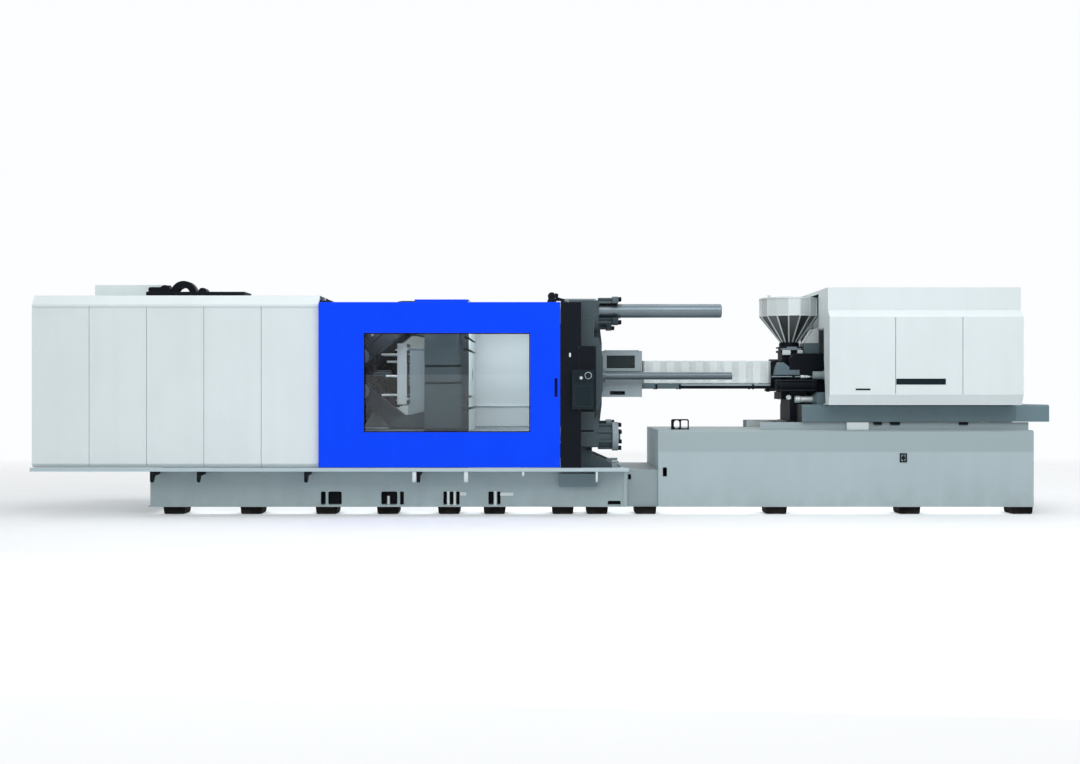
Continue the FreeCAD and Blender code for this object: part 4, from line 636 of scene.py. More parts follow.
def hopper_painted_reflections_and_shade(colours, graph, shader, mixed):
    """The hopper's sides take turns in tone as painted reflections; its cone is darker as painted shade, most
    at the foot; its seams stay bright.
    """
    axes = graph.axes()
    foot, top = HOPPER_CONE_Z
    off = graph.maths("SUBTRACT", axes["X"], HOPPER_X)
    turn = graph.product(graph.maths("ARCTAN2", axes["Y"], off), HOPPER_SIDES / (2 * math.pi))
    odd = graph.maths("FLOORED_MODULO", graph.maths("FLOOR", graph.add(turn, 0.5)), 2.0)
    edge = graph.spread(axes["Z"], foot, top, *HOPPER_CONE_R)
    sheet = graph.maths("LESS_THAN", graph.distance(off, axes["Y"]), graph.add(edge, SKIN))
    # painted shade on the cone, most at its foot, and painted reflections on alternate sides
    dark = graph.add(graph.product(odd, 0.10), graph.spread(axes["Z"], foot, top, 0.98, 0.86))
    cone = graph.product(graph.within(axes["Z"], foot - SKIN, top - SKIN), dark)
    rim = graph.product(graph.within(axes["Z"], top - SKIN, top + 0.22), odd, 0.22)
    weight = graph.product(graph.add(cone, rim), sheet)
    graph.link(graph.mix(weight, mixed, rgba(colours.stainless, 0.05)), shader.inputs["Base Color"])


def glass(slot, tint, roughness, clear, transmission):
    """Clear sheet that lets lamps' light through to what is behind it."""
    graph, shader = new_material(slot)
    shader.inputs["Base Color"].default_value = rgba(tint)
    shader.inputs["Transmission Weight"].default_value = transmission
    shader.inputs["Roughness"].default_value = roughness
    shader.inputs["IOR"].default_value = 1.25
    graph.see_through(graph.node("LightPath")["Is Shadow Ray"], shader, rgba(clear))


def make_finishes():
    """Every finish, named as the record names its slots but for duct_grey; then the solids take theirs."""
    colours = bpy.context.scene.machine_colours
    for plain in list(bpy.data.materials):
        bpy.data.materials.remove(plain)
    wear_and_highlight_group()
    paint_group()
    metal_group()
    layers, made = overlays(colours), {}
    for make, finishes in ((painted, PAINTS), (worked, METALS)):
        for slot, (base, *look) in finishes.items():
            made[slot] = make(slot, getattr(colours, base), *look, layers.get(slot, ()))
    ground_mould_faces(colours, *made["casting_grey"])
    knob_painted_highlight(colours, *made["red_plastic"])
    hopper_painted_reflections_and_shade(colours, *made["stainless"])
    graph, shader = made["bare_steel"][:2]
    guide_rods = graph.mask(layers["bare_steel"][-1][-1])
    graph.link(graph.spread(guide_rods, 0.0, 1.0, 0.9, 0.15), shader.inputs["Metallic"])
    glass("window", (0.95, 0.985, 0.99), 0.01, (0.98, 1.0, 1.0), 1.0)
    glass("dark_window", (0.24, 0.30, 0.32), 0.05, (0.4, 0.46, 0.48), 0.92)
    for part in frame["record"]["subparts"]:
        solid = frame["nodes"][part["node"]]
        solid.data.materials.clear()
        solid.data.materials.append(bpy.data.materials[part["material_slot"]])


# ---------------- barrel cover
COVER_SECTIONS = 9
COVER_FRAME_SHARE = 0.25     # plain sheet on either side of a section's perforated window
COVER_MARGIN = 0.016         # plain sheet along the folds and the lower edges
COVER_Z = (1.504, 1.776)
COVER_HALF = 0.150           # half its width
COVER_END = 0.004            # thickness of its end plates


def ticks(start, end, margin, pitch):
    """Grid lines over a stretch with a plain margin at both ends, and whether each step between has holes."""
    count = max(1, int(round((end - start - 2 * margin) / pitch)))
    lines = np.concatenate([[start], np.linspace(start + margin, end - margin, count + 1), [end]])
    return lines, np.concatenate([[False], np.full(count, True), [False]])


def joined_ticks(stretches):
    """The grid lines and hole marks of several stretches end to end."""
    lines = np.concatenate([s[0][:-1] for s in stretches] + [stretches[-1][0][-1:]])
    return lines, np.concatenate([s[1] for s in stretches])


def perforated_sheet(xs, x_open, ss, s_open, width, fold):
    """A sheet on the grid (x, s), with octagons c + w / (2 cos 22.5) (cos a, sin a) cut in the open steps."""
    grid = np.stack(np.meshgrid(xs, ss, indexing="ij"), -1).reshape(-1, 2)
    cells = grid_faces(len(xs), len(ss))
    has_hole = (x_open[:, None] & s_open[None]).reshape(-1)
    holed = cells[has_hole]
    angles = np.radians(22.5 + 45 * np.arange(8))
    ring = np.stack([np.cos(angles), np.sin(angles)], -1) * width / 2 / math.cos(math.radians(22.5))
    octagons = (grid[holed].mean(1)[:, None] + ring).reshape(-1, 2)
    c0, c1, c2, c3 = (holed[:, i:i + 1] for i in range(4))
    o = [len(grid) + 8 * np.arange(len(holed))[:, None] + i for i in range(8)]
    sides = [(c1, c2, o[0], o[7]), (c2, c3, o[2], o[1]), (c3, c0, o[4], o[3]), (c0, c1, o[6], o[5])]
    points = [(c2, o[1], o[0]), (c3, o[3], o[2]), (c0, o[5], o[4]), (c1, o[7], o[6])]
    around = [np.concatenate([np.hstack(face) for face in faces]) for faces in (sides, points)]
    flat = np.concatenate([grid, octagons])
    return fold(flat[:, 0], flat[:, 1]), [cells[~has_hole], *around]


def strap(x, width=0.024, rise=0.002, depth=0.003):
    """A flat strap folded over the cover: its section goes up the front, over the top and down the rear."""
    bottom, top = COVER_Z
    outer = [(-COVER_HALF - rise, bottom), (-COVER_HALF - rise, top + rise),
             (COVER_HALF + rise, top + rise), (COVER_HALF + rise, bottom)]
    inner = [(COVER_HALF - depth, bottom), (COVER_HALF - depth, top - depth),
             (-COVER_HALF + depth, top - depth), (-COVER_HALF + depth, bottom)]
    return prism(outer + inner, "x", x - width / 2, x + width / 2)


def cover_end(x, radius=0.119):
    """The cover's end plate with a round hole: each ray (cos v, sin v) meets the hole and the edge."""
    v = np.linspace(0, 2 * np.pi, 64, endpoint=False)
    ray = np.stack([np.cos(v), np.sin(v)], -1)
    bottom, top = COVER_Z
    up = np.where(ray[:, 1] > 0, top - BARREL_Z, BARREL_Z - bottom)
    reach = 1 / np.maximum(np.abs(ray[:, 0]) / COVER_HALF, np.abs(ray[:, 1]) / up)
    hole, edge = (ray * far + [0, BARREL_Z] for far in (radius, reach[:, None]))
    return holed_plate(hole, edge, "x", x, x + COVER_END)


def make_barrel_cover():
    """Perforated sheet cover over the heaters, its straps and end plates, and the heater bands under it."""
    sizes = bpy.context.scene.machine_sizes
    start, end = span("barrel_cover", "X")
    bottom, top = COVER_Z
    side, across = top - bottom, 2 * COVER_HALF

    def fold(x, s):
        """Up the front side, over the top, down the rear side, at distance s along the section."""
        y = np.clip(s - side, 0, across) - COVER_HALF
        z = bottom + np.minimum(s, side) - np.clip(s - side - across, 0, side)
        return np.stack([x, y, z], -1)

    pitch = (end - start) / COVER_SECTIONS
    edges = start + pitch * np.arange(COVER_SECTIONS)
    frame_width = pitch * COVER_FRAME_SHARE
    xs, x_open = joined_ticks([ticks(x, x + pitch, frame_width, sizes.hole_pitch) for x in edges])
    folds = ((0, side), (side, side + across), (side + across, 2 * side + across))
    ss, s_open = joined_ticks([ticks(*ends, COVER_MARGIN, sizes.hole_pitch) for ends in folds])
    sheet = perforated_sheet(xs, x_open, ss, s_open, sizes.hole_width, fold)
    piece("perforated_barrel_cover", [sheet], "carriage", "stainless", ("barrel_cover",),
          thickness=sizes.cover_sheet)
    piece("barrel_cover_straps", [strap(x) for x in edges[1:]], "carriage", "stainless")
    piece("barrel_cover_ends", [cover_end(x) for x in (start, end - COVER_END)], "carriage", "stainless")
    band = [(0.0, 0.1154), (0.0, 0.128), (0.118, 0.128), (0.118, 0.1154)]
    bands = [lathe(band, "x", (x + 0.027, 0, BARREL_Z), 40, closed=True) for x in edges]
    bands += [slab((x + 0.05, x + 0.122), (-0.03, 0.03), (BARREL_Z - 0.158, BARREL_Z - 0.126), 0.004)
              for x in edges]
    piece("heater_bands", bands, "carriage", "bare_steel")


# ---------------- screws and threads
THREAD_START = -2.72
THREAD_RADII = (0.0498, 0.0513)
FLIGHT_START = 1.062
FLIGHT_LENGTH = 1.90
FLIGHT_RADII = (0.033, 0.0548)


def make_threads():
    """The ball screw's raised turns and the plasticising screw's flights."""
    sizes = bpy.context.scene.machine_sizes
    end = span("clamp_ball_screw", "X")[1] - 0.03
    pitch, (root, crest) = sizes.thread_pitch, THREAD_RADII
    rib = [(0.0, root), (0.004, crest), (pitch - 0.014, crest), (pitch - 0.010, root)]
    thread = helix_band(rib, pitch, THREAD_START, (end - THREAD_START) / pitch, 32)
    piece("ball_screw_thread", [thread], "clamp_screw", "dark_steel")
    pitch, (root, crest) = sizes.flight_pitch, FLIGHT_RADII
    flight = [(0.0, root), (0.004, crest), (0.013, crest), (0.017, root)]
    flights = helix_band(flight, pitch, FLIGHT_START, FLIGHT_LENGTH / pitch)
    piece("screw_flights", [flights], "screw", "bare_steel")


def socket_screw(axis, seat, way, radius, height, sides=12):
    """A cap screw's head on the axis, turned from one outline with its hexagon recess as a round one."""
    top = seat + way * height
    floor = top - way * height * 0.55
    outline = [(seat, 0), (seat, radius), (top - way * radius * 0.12, radius), (top, radius * 0.88),
               (top, radius * 0.5), (floor, radius * 0.5), (floor, 0)]
    return lathe(outline, axis, (0, 0, 0), sides)


def make_nut_screws():
    """Cap screws round the tie bar nuts, over the ends of their studs."""
    angles = np.radians(45 * np.arange(8) + 22.5)
    screw, circle = socket_screw("x", 0.812, 1, 0.024, 0.038), 0.144
    heads = []
    for y in (-TIE_CORNER, TIE_CORNER):
        for z in (BARREL_Z - TIE_CORNER, BARREL_Z + TIE_CORNER):
            around = np.stack([np.zeros(8), y + circle * np.cos(angles), z + circle * np.sin(angles)], -1)
            if y < 0 and z > BARREL_Z:
                around = around[(around[:, 1] > y) | (np.abs(around[:, 2] - z) > 0.1)]
            heads.append(copies(screw, around))
    piece("tie_bar_nut_screws", heads, "machine", "black_paint")


# ---------------- hopper and injection unit
def make_hopper_trim():
    """Seam ribs down the hopper's edges, its rolled rim and joint bands, and the fittings at its throat."""
    angles = 2 * np.pi * (np.arange(HOPPER_SIDES) + 0.5) / HOPPER_SIDES
    level = np.zeros(HOPPER_SIDES)
    out = np.stack([np.cos(angles), np.sin(angles), level], -1)
    across = np.stack([-np.sin(angles), np.cos(angles), level], -1)
    lean = out * 0.79 - [0, 0, 0.61]
    axis = np.array([HOPPER_X, 0.0, 0.0])
    cone = struts(axis + out * 0.104 + [0, 0, 2.004], axis + out * 0.351 + [0, 0, 2.312], across * 0.008,
                  lean * 0.007)
    rim = struts(axis + out * 0.353 + [0, 0, 2.318], axis + out * 0.353 + [0, 0, 2.522], across * 0.004,
                 out * 0.004)
    bands = [lathe([(z, r), (z, r + 0.012), (z + 0.012, r + 0.012), (z + 0.012, r)], "z", (HOPPER_X, 0, 0),
                   HOPPER_SIDES, math.pi / HOPPER_SIDES, True) for z, r in ((2.515, 0.350), (2.309, 0.346))]
    piece("hopper_seams", [cone, rim, *bands], "carriage", "stainless")
    blocks = [slab((2.817, 2.914), (-0.192, -0.160), (1.845, 1.903), 0.008),
              slab((2.996, 3.058), (-0.192, -0.160), (1.829, 1.903), 0.008)]
    piece("throat_blocks", blocks, "carriage", "panel_white", bevel=0.003)
    screws = copies(socket_screw("y", -0.192, -1, 0.009, 0.008),
                    [(2.836, 0, 1.874), (2.895, 0, 1.874), (3.027, 0, 1.85), (3.027, 0, 1.885)])
    piece("throat_screws", [screws], "carriage", "stainless")


SLIM_RODS = (0.345, 1.582)   # from the middle, and above the floor
CYLINDERS = (0.355, 1.480)


def turned_pair(outline, off, z, sides):
    """A shape turned along X at a height, on both sides of the middle."""
    return [lathe(outline, "x", (0, y, z), sides, closed=outline[0][1] > 0) for y in (-off, off)]


def make_unit_fittings():
    """Sleeves, rods, brackets, cylinders, knobs, caps, feed hood and block, and the tray's trims."""
    sleeve = [(3.139, 0), (3.139, 0.040), (3.145, 0.046), (3.262, 0.046), (3.262, 0.056), (3.300, 0.056),
              (3.300, 0)]
    piece("pull_rod_sleeves", turned_pair(sleeve, 0.385, 1.600, 28), "carriage", "guard_grey")
    rod = [(2.660, 0), (2.660, 0.012), (3.138, 0.012), (3.140, 0.010), (3.140, 0)]
    piece("slim_rods", turned_pair(rod, *SLIM_RODS, 14), "carriage", "bare_steel")
    holders = [slab((x, x + 0.03), (-0.362, -0.329), (1.560, 1.604), 0.006, "x") for x in (2.90, 3.08)]
    piece("slim_rod_holders", both(*holders), "carriage", "black_paint")
    slope = [(2.700, 1.604), (2.716, 1.700), (2.742, 1.752), (2.800, 1.752), (2.868, 1.700), (2.868, 1.664),
             (2.990, 1.664), (2.990, 1.604)]
    bracket = prism(slope, "y", -0.350, -0.200)
    piece("sloped_brackets", both(bracket), "carriage", "carriage_grey", bevel=0.004)
    cylinder = [(2.705, 0), (2.705, 0.070), (2.712, 0.078), (2.752, 0.078), (2.756, 0.070), (3.130, 0.070),
                (3.134, 0.078), (3.170, 0.078), (3.176, 0.072), (3.176, 0)]
    piece("carriage_cylinders", turned_pair(cylinder, *CYLINDERS, 36), "carriage", "black_paint")
    tie = [(2.698, 0), (2.698, 0.008), (3.182, 0.008), (3.184, 0.006), (3.184, 0)]
    (off, z), half = CYLINDERS, 0.058
    corners = [(0, side * off + dy, z + dz)
               for side in (-1, 1) for dy in (-half, half) for dz in (-half, half)]
    piece("cylinder_ties", [copies(lathe(tie, "x", (0, 0, 0), 10), corners)], "carriage", "dark_steel")
    collar = [(3.000, 0.0125), (3.000, 0.020), (3.045, 0.020), (3.050, 0.016), (3.068, 0.016), (3.072, 0.020),
              (3.108, 0.020), (3.108, 0.0125)]
    piece("slim_rod_collars", turned_pair(collar, *SLIM_RODS, 20), "carriage", "stainless")
    knob = [(-0.302, 0), (-0.302, 0.020), (-0.316, 0.030), (-0.340, 0.030), (-0.350, 0.022), (-0.352, 0)]
    piece("column_knobs", both(lathe(knob, "y", (2.862, 0, 1.338), 20)), "carriage", "panel_white")
    cap = [(2.932, 0), (2.932, 0.030), (2.944, 0.042), (2.992, 0.042), (3.000, 0.036), (3.146, 0.036),
           (3.146, 0)]
    piece("traverse_caps", turned_pair(cap, 0.335, 1.314, 28), "carriage", "stainless")
    hood = [(3.090, 1.990), (3.262, 1.990), (3.262, 2.150), (3.236, 2.172), (3.202, 2.160)]
    piece("feed_hood", [prism(rounded(hood, 0.012, 3), "y", -0.120, 0.120)], "carriage", "stainless")
    block = slab((3.080, 3.270), (-0.130, 0.130), (1.8605, 1.9895), 0.01)
    piece("feed_block", [block], "carriage", "carriage_grey", bevel=0.004)
    low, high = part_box("barrel_tray")
    bottom, top, front = low[2] + 0.003, 1.500, (low[1] - 0.004, low[1] + 0.001)
    lip = slab((1.604, high[0] - 0.010), front, (top - 0.024, top))
    piece("tray_lips", both(lip), "carriage", "guard_grey")
    apron = slab((low[0] + 0.004, 1.596), front, (bottom, top))
    piece("tray_aprons", both(apron), "carriage", "carriage_grey")
    clips = [slab((x, x + 0.024), (low[1] - 0.010, low[1] + 0.001), (bottom - 0.010, top - 0.006), 0.004)
             for x in (1.296, 1.578, 2.456)]
    piece("tray_clips", both(*clips), "carriage", "black_paint", bevel=0.002)
    half, wall, (front, back) = 0.3895, 0.003, (3.2095, 3.304)
    recess = [(front, -half), (back, -half), (back, half), (front, half), (front, half - wall),
              (back - wall, half - wall), (back - wall, wall - half), (front, wall - half)]
    piece("hopper_recess", [prism(recess, "z", 2.146, 2.559)], "carriage", "panel_white")


# ---------------- covers and doors
def edge_trim(x, low, high, rise=0.0015):
    """A thin sheet along X on the slope from low to high, both (y, z), raised square to it; on both sides."""
    low, high = np.array(low), np.array(high)
    out = np.array([low[1] - high[1], high[0] - low[0]]) / np.linalg.norm(high - low) * rise
    return both(prism([low, high, high + out, low + out], "x", *x))


def make_cover_trim():
    """Trims over the covers' sloped edges, and the glossy strip and grip of the injection cover."""
    trims = edge_trim(span("cover_roof", "X"), (-1.090, 2.390), (-1.000, 2.4955))
    piece("clamp_cover_trims", trims, "machine", "panel_white")
    x = span("injection_cover", "X")
    trims = edge_trim(x, (-1.000, 2.255), (-0.910, 2.345)) + edge_trim(x, (-0.940, 1.269), (-1.000, 1.375))
    piece("injection_cover_trims", trims, "carriage", "panel_white")
    strip = slab((3.961, 4.524), (COVER_Y - 0.0040, COVER_Y), (1.486, 1.554), 0.004)
    piece("cover_strips", both(strip), "carriage", "black_plastic")
    grip = slab((3.5, 3.667), (COVER_Y - 0.0032, COVER_Y), (1.421, 1.442), 0.004)
    piece("cover_grips", both(grip), "carriage", "dark_steel")


def make_door_trim():
    """Dished handle inserts, window seal, the roller over the front door, and the post's catch and screws."""
    cup = dish((0.0755, 0.1085), (1.3465, 1.5595), -DOOR_Y, 0.022)
    piece("front_door_handle", [cup], "front_door", "door_blue", thickness=0.002)
    cup = dish((-0.9685, -0.9355), (1.3465, 1.5595), DOOR_Y, -0.022)
    piece("rear_door_handle", [cup], "rear_door", "black_plastic", thickness=0.002)
    x, z = (grown(span("front_door_window", way), -0.03) for way in "XZ")
    piece("window_seal", [seal(x, z, 0.012, -1.1505, -1.1385)], "front_door", "foot_rubber")
    roller = [(-1.146, 0), (-1.146, 0.030), (-1.142, 0.044), (-1.132, 0.044), (-1.128, 0.036),
              (-1.122, 0.036), (-1.118, 0.044), (-1.112, 0.044), (-1.112, 0)]
    hanger = [(-0.012, 2.405), (0.100, 2.405), (0.088, 2.446), (0.066, 2.470), (0.022, 2.470), (0.000, 2.446)]
    piece("door_roller", [lathe(roller, "y", (0.044, 0, 2.482), 28), prism(hanger, "y", -1.136, -1.120)],
          "front_door", "black_paint")
    catch = slab((0.239, 0.259), (-1.166, -DOOR_Y), (1.797, 1.842), 0.005)
    piece("door_catch", [catch], "machine", "panel_white", bevel=0.002)
    screws = copies(socket_screw("y", -1.164, -1, 0.009, 0.006),
                    [(0.355, 0, 1.20), (0.355, 0, 1.90), (0.526, 0, 1.90), (0.526, 0, 1.20)])
    piece("plate_screws", [screws], "machine", "dark_steel")


# ---------------- controls
def make_controls():
    """Screen glass, keys, lamps and rings of the control panel."""
    plate = slab((0.298, 0.493), (PANEL_Y - 0.0012, PANEL_Y + 0.004), (1.242, 1.468), 0.006)
    piece("panel_screen", [plate], "machine", "black_plastic")
    collar = [(PANEL_Y, 0.028), (PANEL_Y - 0.006, 0.034), (PANEL_Y - 0.010, 0.038), (PANEL_Y - 0.010, 0.044),
              (PANEL_Y, 0.046)]
    stop_ring = lathe(collar, "y", (KNOB_AXIS[0], 0, KNOB_AXIS[1]), 28, closed=True)
    piece("stop_collar", [stop_ring], "machine", "black_plastic")
    v = np.linspace(0, 2 * np.pi, 8, endpoint=False)
    round_section = np.stack([PANEL_Y - 0.008 + 0.005 * np.cos(v), 0.036 - 0.005 * np.sin(v)], -1)
    selector_ring = lathe(round_section, "y", (0.452, 0, 1.587), 36, closed=True)
    piece("selector_ring", [selector_ring], "machine", "guard_grey")
    key = slab((0, 0.018), (PANEL_Y - 0.004, PANEL_Y + 0.001), (0, 0.012), 0.003)
    keys = copies(key, [(0.300 + 0.028 * i, 0, 1.486) for i in range(7)])
    piece("panel_keys", [keys], "machine", "black_plastic")
    lamp = lathe([(PANEL_Y, 0.009), (PANEL_Y - 0.005, 0.009), (PANEL_Y - 0.009, 0.005), (PANEL_Y - 0.010, 0)],
                 "y", (0, 0, 0), 14)
    lamps = copies(lamp, [(0.300 + 0.030 * i, 0, 1.618) for i in range(3)])
    piece("panel_lamps", [lamps], "machine", "dark_steel")


# ---------------- beds
WINDOW_X = ((-2.607, -2.550), (-2.523, -2.366), (-1.913, -1.727), (-1.697, -1.652), (-1.199, -1.158),
            (-1.126, -1.083), (-1.052, -1.012), (-0.681, -0.620), (-0.582, -0.541))
WINDOW_Z = (0.105, 0.259)
NOTCH = (0.690, 0.840, 0.092, 0.152)
SILL_Z = 0.507               # underside of the sill


def make_clamp_bed():
    """Both box beams with the windows in their sides, their slideways, the sill brackets and duct boxes."""
    (x0, x1), (z0, z1), (outer, behind, inner) = BEAM_X, BEAM_Z, BEAM_Y
    holes = [(*x, *WINDOW_Z) for x in WINDOW_X] + [NOTCH]
    xs = np.sort(np.concatenate([[x0, x1]] + [grown(hole[:2], 0.008) for hole in holes]))
    wall = 0.025
    channel = [(behind, z0), (inner, z0), (inner, z1), (behind, z1), (behind, z1 - wall),
               (inner - wall, z1 - wall), (inner - wall, z0 + wall), (behind, z0 + wall)]
    beam = [windowed_plate(xs, (z0, z0 + 0.005, 0.30, z1), holes, outer, behind),
            prism(channel, "x", x0 + 0.001, x1 - 0.001)]
    beam += [slab((a, a + 0.024), (behind - 0.0005, inner - 0.001), (z0 + 0.0005, z1 - 0.0005))
             for a in (x0 + 0.0005, x1 - 0.0245)]
    beam.append(slab((x0 - 0.022, x0 + 0.0005), (outer, inner), (z0, z0 + 0.014)))
    beam.append(slab((-3.9, x1 - 0.04), (-0.730, -0.550), (z1 - 0.001, 0.526), 0.003, "x"))
    # black sheets inside the beams, painted shade seen through the windows
    painted_shade_sheet = slab((x0 + 0.03, x1 - 0.03), (-0.716, -0.712), (z0 + 0.028, z1 - 0.028))
    piece("beam_linings", both(painted_shade_sheet), "machine", "black_paint")
    piece("clamp_bed_beams", both(*beam), "machine", "bed_grey", ("clamp_bed",))
    drop = np.array([(outer + 0.001, SILL_Z), (-1.142, SILL_Z), (-1.142, 0.408), (-1.128, 0.388),
                     (-1.098, 0.380), (-1.068, 0.402), (-1.030, 0.452), (outer + 0.001, 0.462)])
    short = drop * [1, 0.45] + [0, SILL_Z * 0.55]
    # brackets on the left painted black as painted shade on their shaded faces; those on the right painted
    # white as painted light on their lit faces
    dark = [(drop, -4.480, 0.030), (drop, -3.952, 0.024), (drop, -2.744, 0.034), (drop, -1.478, 0.036)]
    pale = [(drop, -1.528, 0.048), (drop, -0.945, 0.046), (short, -0.290, 0.024), (drop, 0.540, 0.024)]
    for name, slot, hooks, bevel in (("sill_brackets_left", "black_paint", dark, 0.0),
                                     ("sill_brackets_right", "panel_white", pale, 0.007)):
        brackets = both(*(prism(hook, "x", x, x + wide) for hook, x, wide in hooks))
        piece(name, brackets, "machine", slot, bevel=bevel)
    duct = [(outer + 0.001, 0.318), (outer + 0.001, 0.471), (-0.935, 0.471), (-0.905, 0.318)]
    piece("duct_boxes", both(prism(duct, "x", 0.130, 0.563)), "machine", "bed_grey", finish="duct_grey",
          bevel=0.004)
    # pale strips on the posts between the windows, painted highlights
    post_highlights = [slab(grown((x, x), 0.011), (-0.8325, -0.812), grown(WINDOW_Z, 0.004), 0.004, "z")
             for x in (-1.142, -1.0675, -0.601)]
    piece("window_posts", both(*post_highlights), "machine", "panel_white")


def make_valve_block():
    """A dark block of valves on two arms from the rear cover's edge, with coils and caps on its front."""
    front, back = 0.895, 0.965
    body = [slab((-2.270, -1.895), (front, back), (1.300, 1.930), 0.012)]
    body += [slab((-2.640, -2.260), (back - 0.030, back - 0.010), (z, z + 0.060), 0.004)
             for z in (1.380, 1.780)]
    body += [slab((x, x + 0.070), (front - 0.045, front + 0.001), (z, z + 0.120), 0.010)
             for x in (-2.225, -2.115, -2.005) for z in (1.360, 1.560, 1.760)]
    piece("valve_block", body, "machine", "black_paint", bevel=0.004)
    cap = [(front + 0.001, 0), (front + 0.001, 0.016), (front - 0.016, 0.016), (front - 0.022, 0.011),
           (front - 0.022, 0)]
    caps = copies(lathe(cap, "y", (0, 0, 0), 12), [(x, 0, z) for x in (-2.190, -2.080, -1.970)
                                                   for z in (1.520, 1.720)])
    piece("valve_caps", [caps], "machine", "dark_steel")


def make_bed_fittings():
    """The beds' flange, studs seen in the windows, brackets, latch plate, rail guards, slots and clamps."""
    flange = slab((0.872, 0.9119), (-0.836, -0.8295), (0.084, 0.504))
    piece("bed_end_flange", both(flange), "machine", "bed_light_grey")
    stud = [(0.0822, 0), (0.0822, 0.030), (0.106, 0.030), (0.106, 0.017), (0.202, 0.017), (0.204, 0.015),
            (0.204, 0)]
    studs = both(lathe(stud, "z", (-1.834, -0.780, 0), 6))
    piece("levelling_studs", studs, "machine", "panel_white")
    brackets = both(slab((-1.008, -0.934), (-0.842, -0.8302), (0.213, 0.253), 0.014),
                    slab((-0.544, -0.395), (-0.842, -0.8302), (0.211, 0.247), 0.004))
    piece("angle_brackets", brackets, "machine", "panel_white")
    plate = seal((4.045, 4.129), (0.593, 0.699), 0.016, -0.8365, -0.8295)
    piece("latch_plate", [plate], "machine", "black_plastic")
    guard = slab((2.470, 5.590), (-0.652, -0.640), RAIL_BASE_Z)
    piece("rail_guards", both(guard), "machine", "bed_light_grey")
    slots = both(slab((0.382, 0.531), (-0.8508, -0.845), (0.944, 0.966)),
                 slab((0.440, 0.509), (-0.8508, -0.845), (0.732, 0.762)))
    piece("platen_slots", slots, "machine", "black_paint")
    block = slab((3.470, 3.725), (-0.694, -0.652), RAIL_BASE_Z, 0.008)
    piece("carriage_stop_block", both(block), "machine", "panel_white", bevel=0.004)
    clamps = [slab(x, (-0.676, -0.652), (1.020, 1.051), 0.004)
              for x in ((3.79, 3.88), (3.98, 4.09), (4.78, 4.88))]
    piece("rail_clamps", both(*clamps), "machine", "black_paint")


# ---------------- stage
LAMPS = (
    # name, place, target, width, height, power
    ("key", (2.5, -9.0, 8.0), (0.0, 0.0, 1.2), 18.0, 6.0, 705.0),
    ("low", (-1.5, -10.0, 0.9), (-0.5, 0.0, 0.8), 16.0, 1.6, 110.0),
    ("mould_area", (-0.42, -1.03, 2.25), (-0.55, 1.1, 1.1), 0.8, 0.12, 12.5),
    ("toggle_area", (-1.75, -1.03, 2.25), (-1.75, 0.9, 1.5), 0.8, 0.12, 4.5),
    ("toggle_wall", (-1.95, 0.70, 2.30), (-1.95, 1.15, 1.5), 1.2, 0.10, 9.0),
    ("top", (0.0, 0.5, 8.5), (0.0, 0.0, 0.0), 15.0, 5.0, 250.0),
    ("back", (3.0, 10.0, 8.0), (0.0, 0.0, 1.2), 14.0, 6.0, 350.0),
    ("under_beds", (0.51, 0.0, 0.079), (0.51, 0.0, 0.0), 10.1, 1.62, 50.0),
    ("under_covers", (-5.20, 0.0, 0.50), (-5.20, 0.0, 0.0), 1.2, 1.8, 4.0),
)
CAMERA_X = -0.088
HORIZON_SHIFT = 8 / 1080     # the horizon lies this share of the picture's width under its middle


def aimed(name, data, place, target):
    """A lamp or camera at a place, looking at a target."""
    made = bpy.data.objects.new(name, data)
    bpy.context.scene.collection.objects.link(made)
    made.location = place
    made.rotation_mode = "QUATERNION"
    made.rotation_quaternion = (Vector(target) - Vector(place)).to_track_quat("-Z", "Y")
    return made


def softbox(name, place, target, width, height, power):
    """A soft lamp that the camera doesn't see."""
    data = bpy.data.lights.new(name, "AREA")
    data.color = (0.96, 0.985, 1.0)
    data.shape = "RECTANGLE"
    data.size = width
    data.size_y = height
    data.energy = power
    aimed(name, data, place, target).visible_camera = False


def make_floor():
    """A round pale floor whose rim fades out."""
    points, faces = lathe([(0, 0), (0, 8), (0, 16), (0, 30), (0, 60)], "z", (0, 0, 0), 64)
    mesh = bpy.data.meshes.new("studio_floor")
    mesh.from_pydata(points, [], faces[0].tolist())
    graph, shader = new_material("studio_floor")
    place = graph.place()
    tone = graph.mix(graph.noise(place, 2.0, 3.0), (0.86, 0.865, 0.87, 1.0), (0.90, 0.905, 0.91, 1.0))
    seen = graph.node("LightPath")["Is Camera Ray"]
    graph.link(graph.mix(seen, (0.66, 0.67, 0.68, 1.0), tone), shader.inputs["Base Color"])
    shader.inputs["Roughness"].default_value = 0.9
    shader.inputs["Specular IOR Level"].default_value = 0.1
    away = graph.node("VectorMath", {"operation": "LENGTH"}, i0=place)["Value"]
    graph.see_through(graph.spread(away, 6.8, 16.0), shader)
    mesh.materials.append(bpy.data.materials["studio_floor"])
    floor = bpy.data.objects.new("studio_floor", mesh)
    bpy.context.scene.collection.objects.link(floor)


def make_world():
    """An even pale surround; the camera sees it white, and its light on the machine is softer."""
    world = bpy.data.worlds.new("studio")
    world.use_nodes = True
    graph = Graph(world.node_tree)
    seen = graph.node("LightPath")["Is Camera Ray"]
    direction = graph.node("TexCoord")["Generated"]
    up = graph.node("SeparateXYZ", Vector=direction)["Z"]
    level = graph.spread(up, -0.2, 0.9, 0.46, 0.78)
    strength = graph.add(graph.product(level, graph.maths("SUBTRACT", 1.0, seen)), seen)
    background = world.node_tree.nodes["Background"]
    background.inputs["Color"].default_value = (0.975, 0.99, 1.0, 1.0)
    graph.link(strength, background.inputs["Strength"])
    bpy.context.scene.world = world


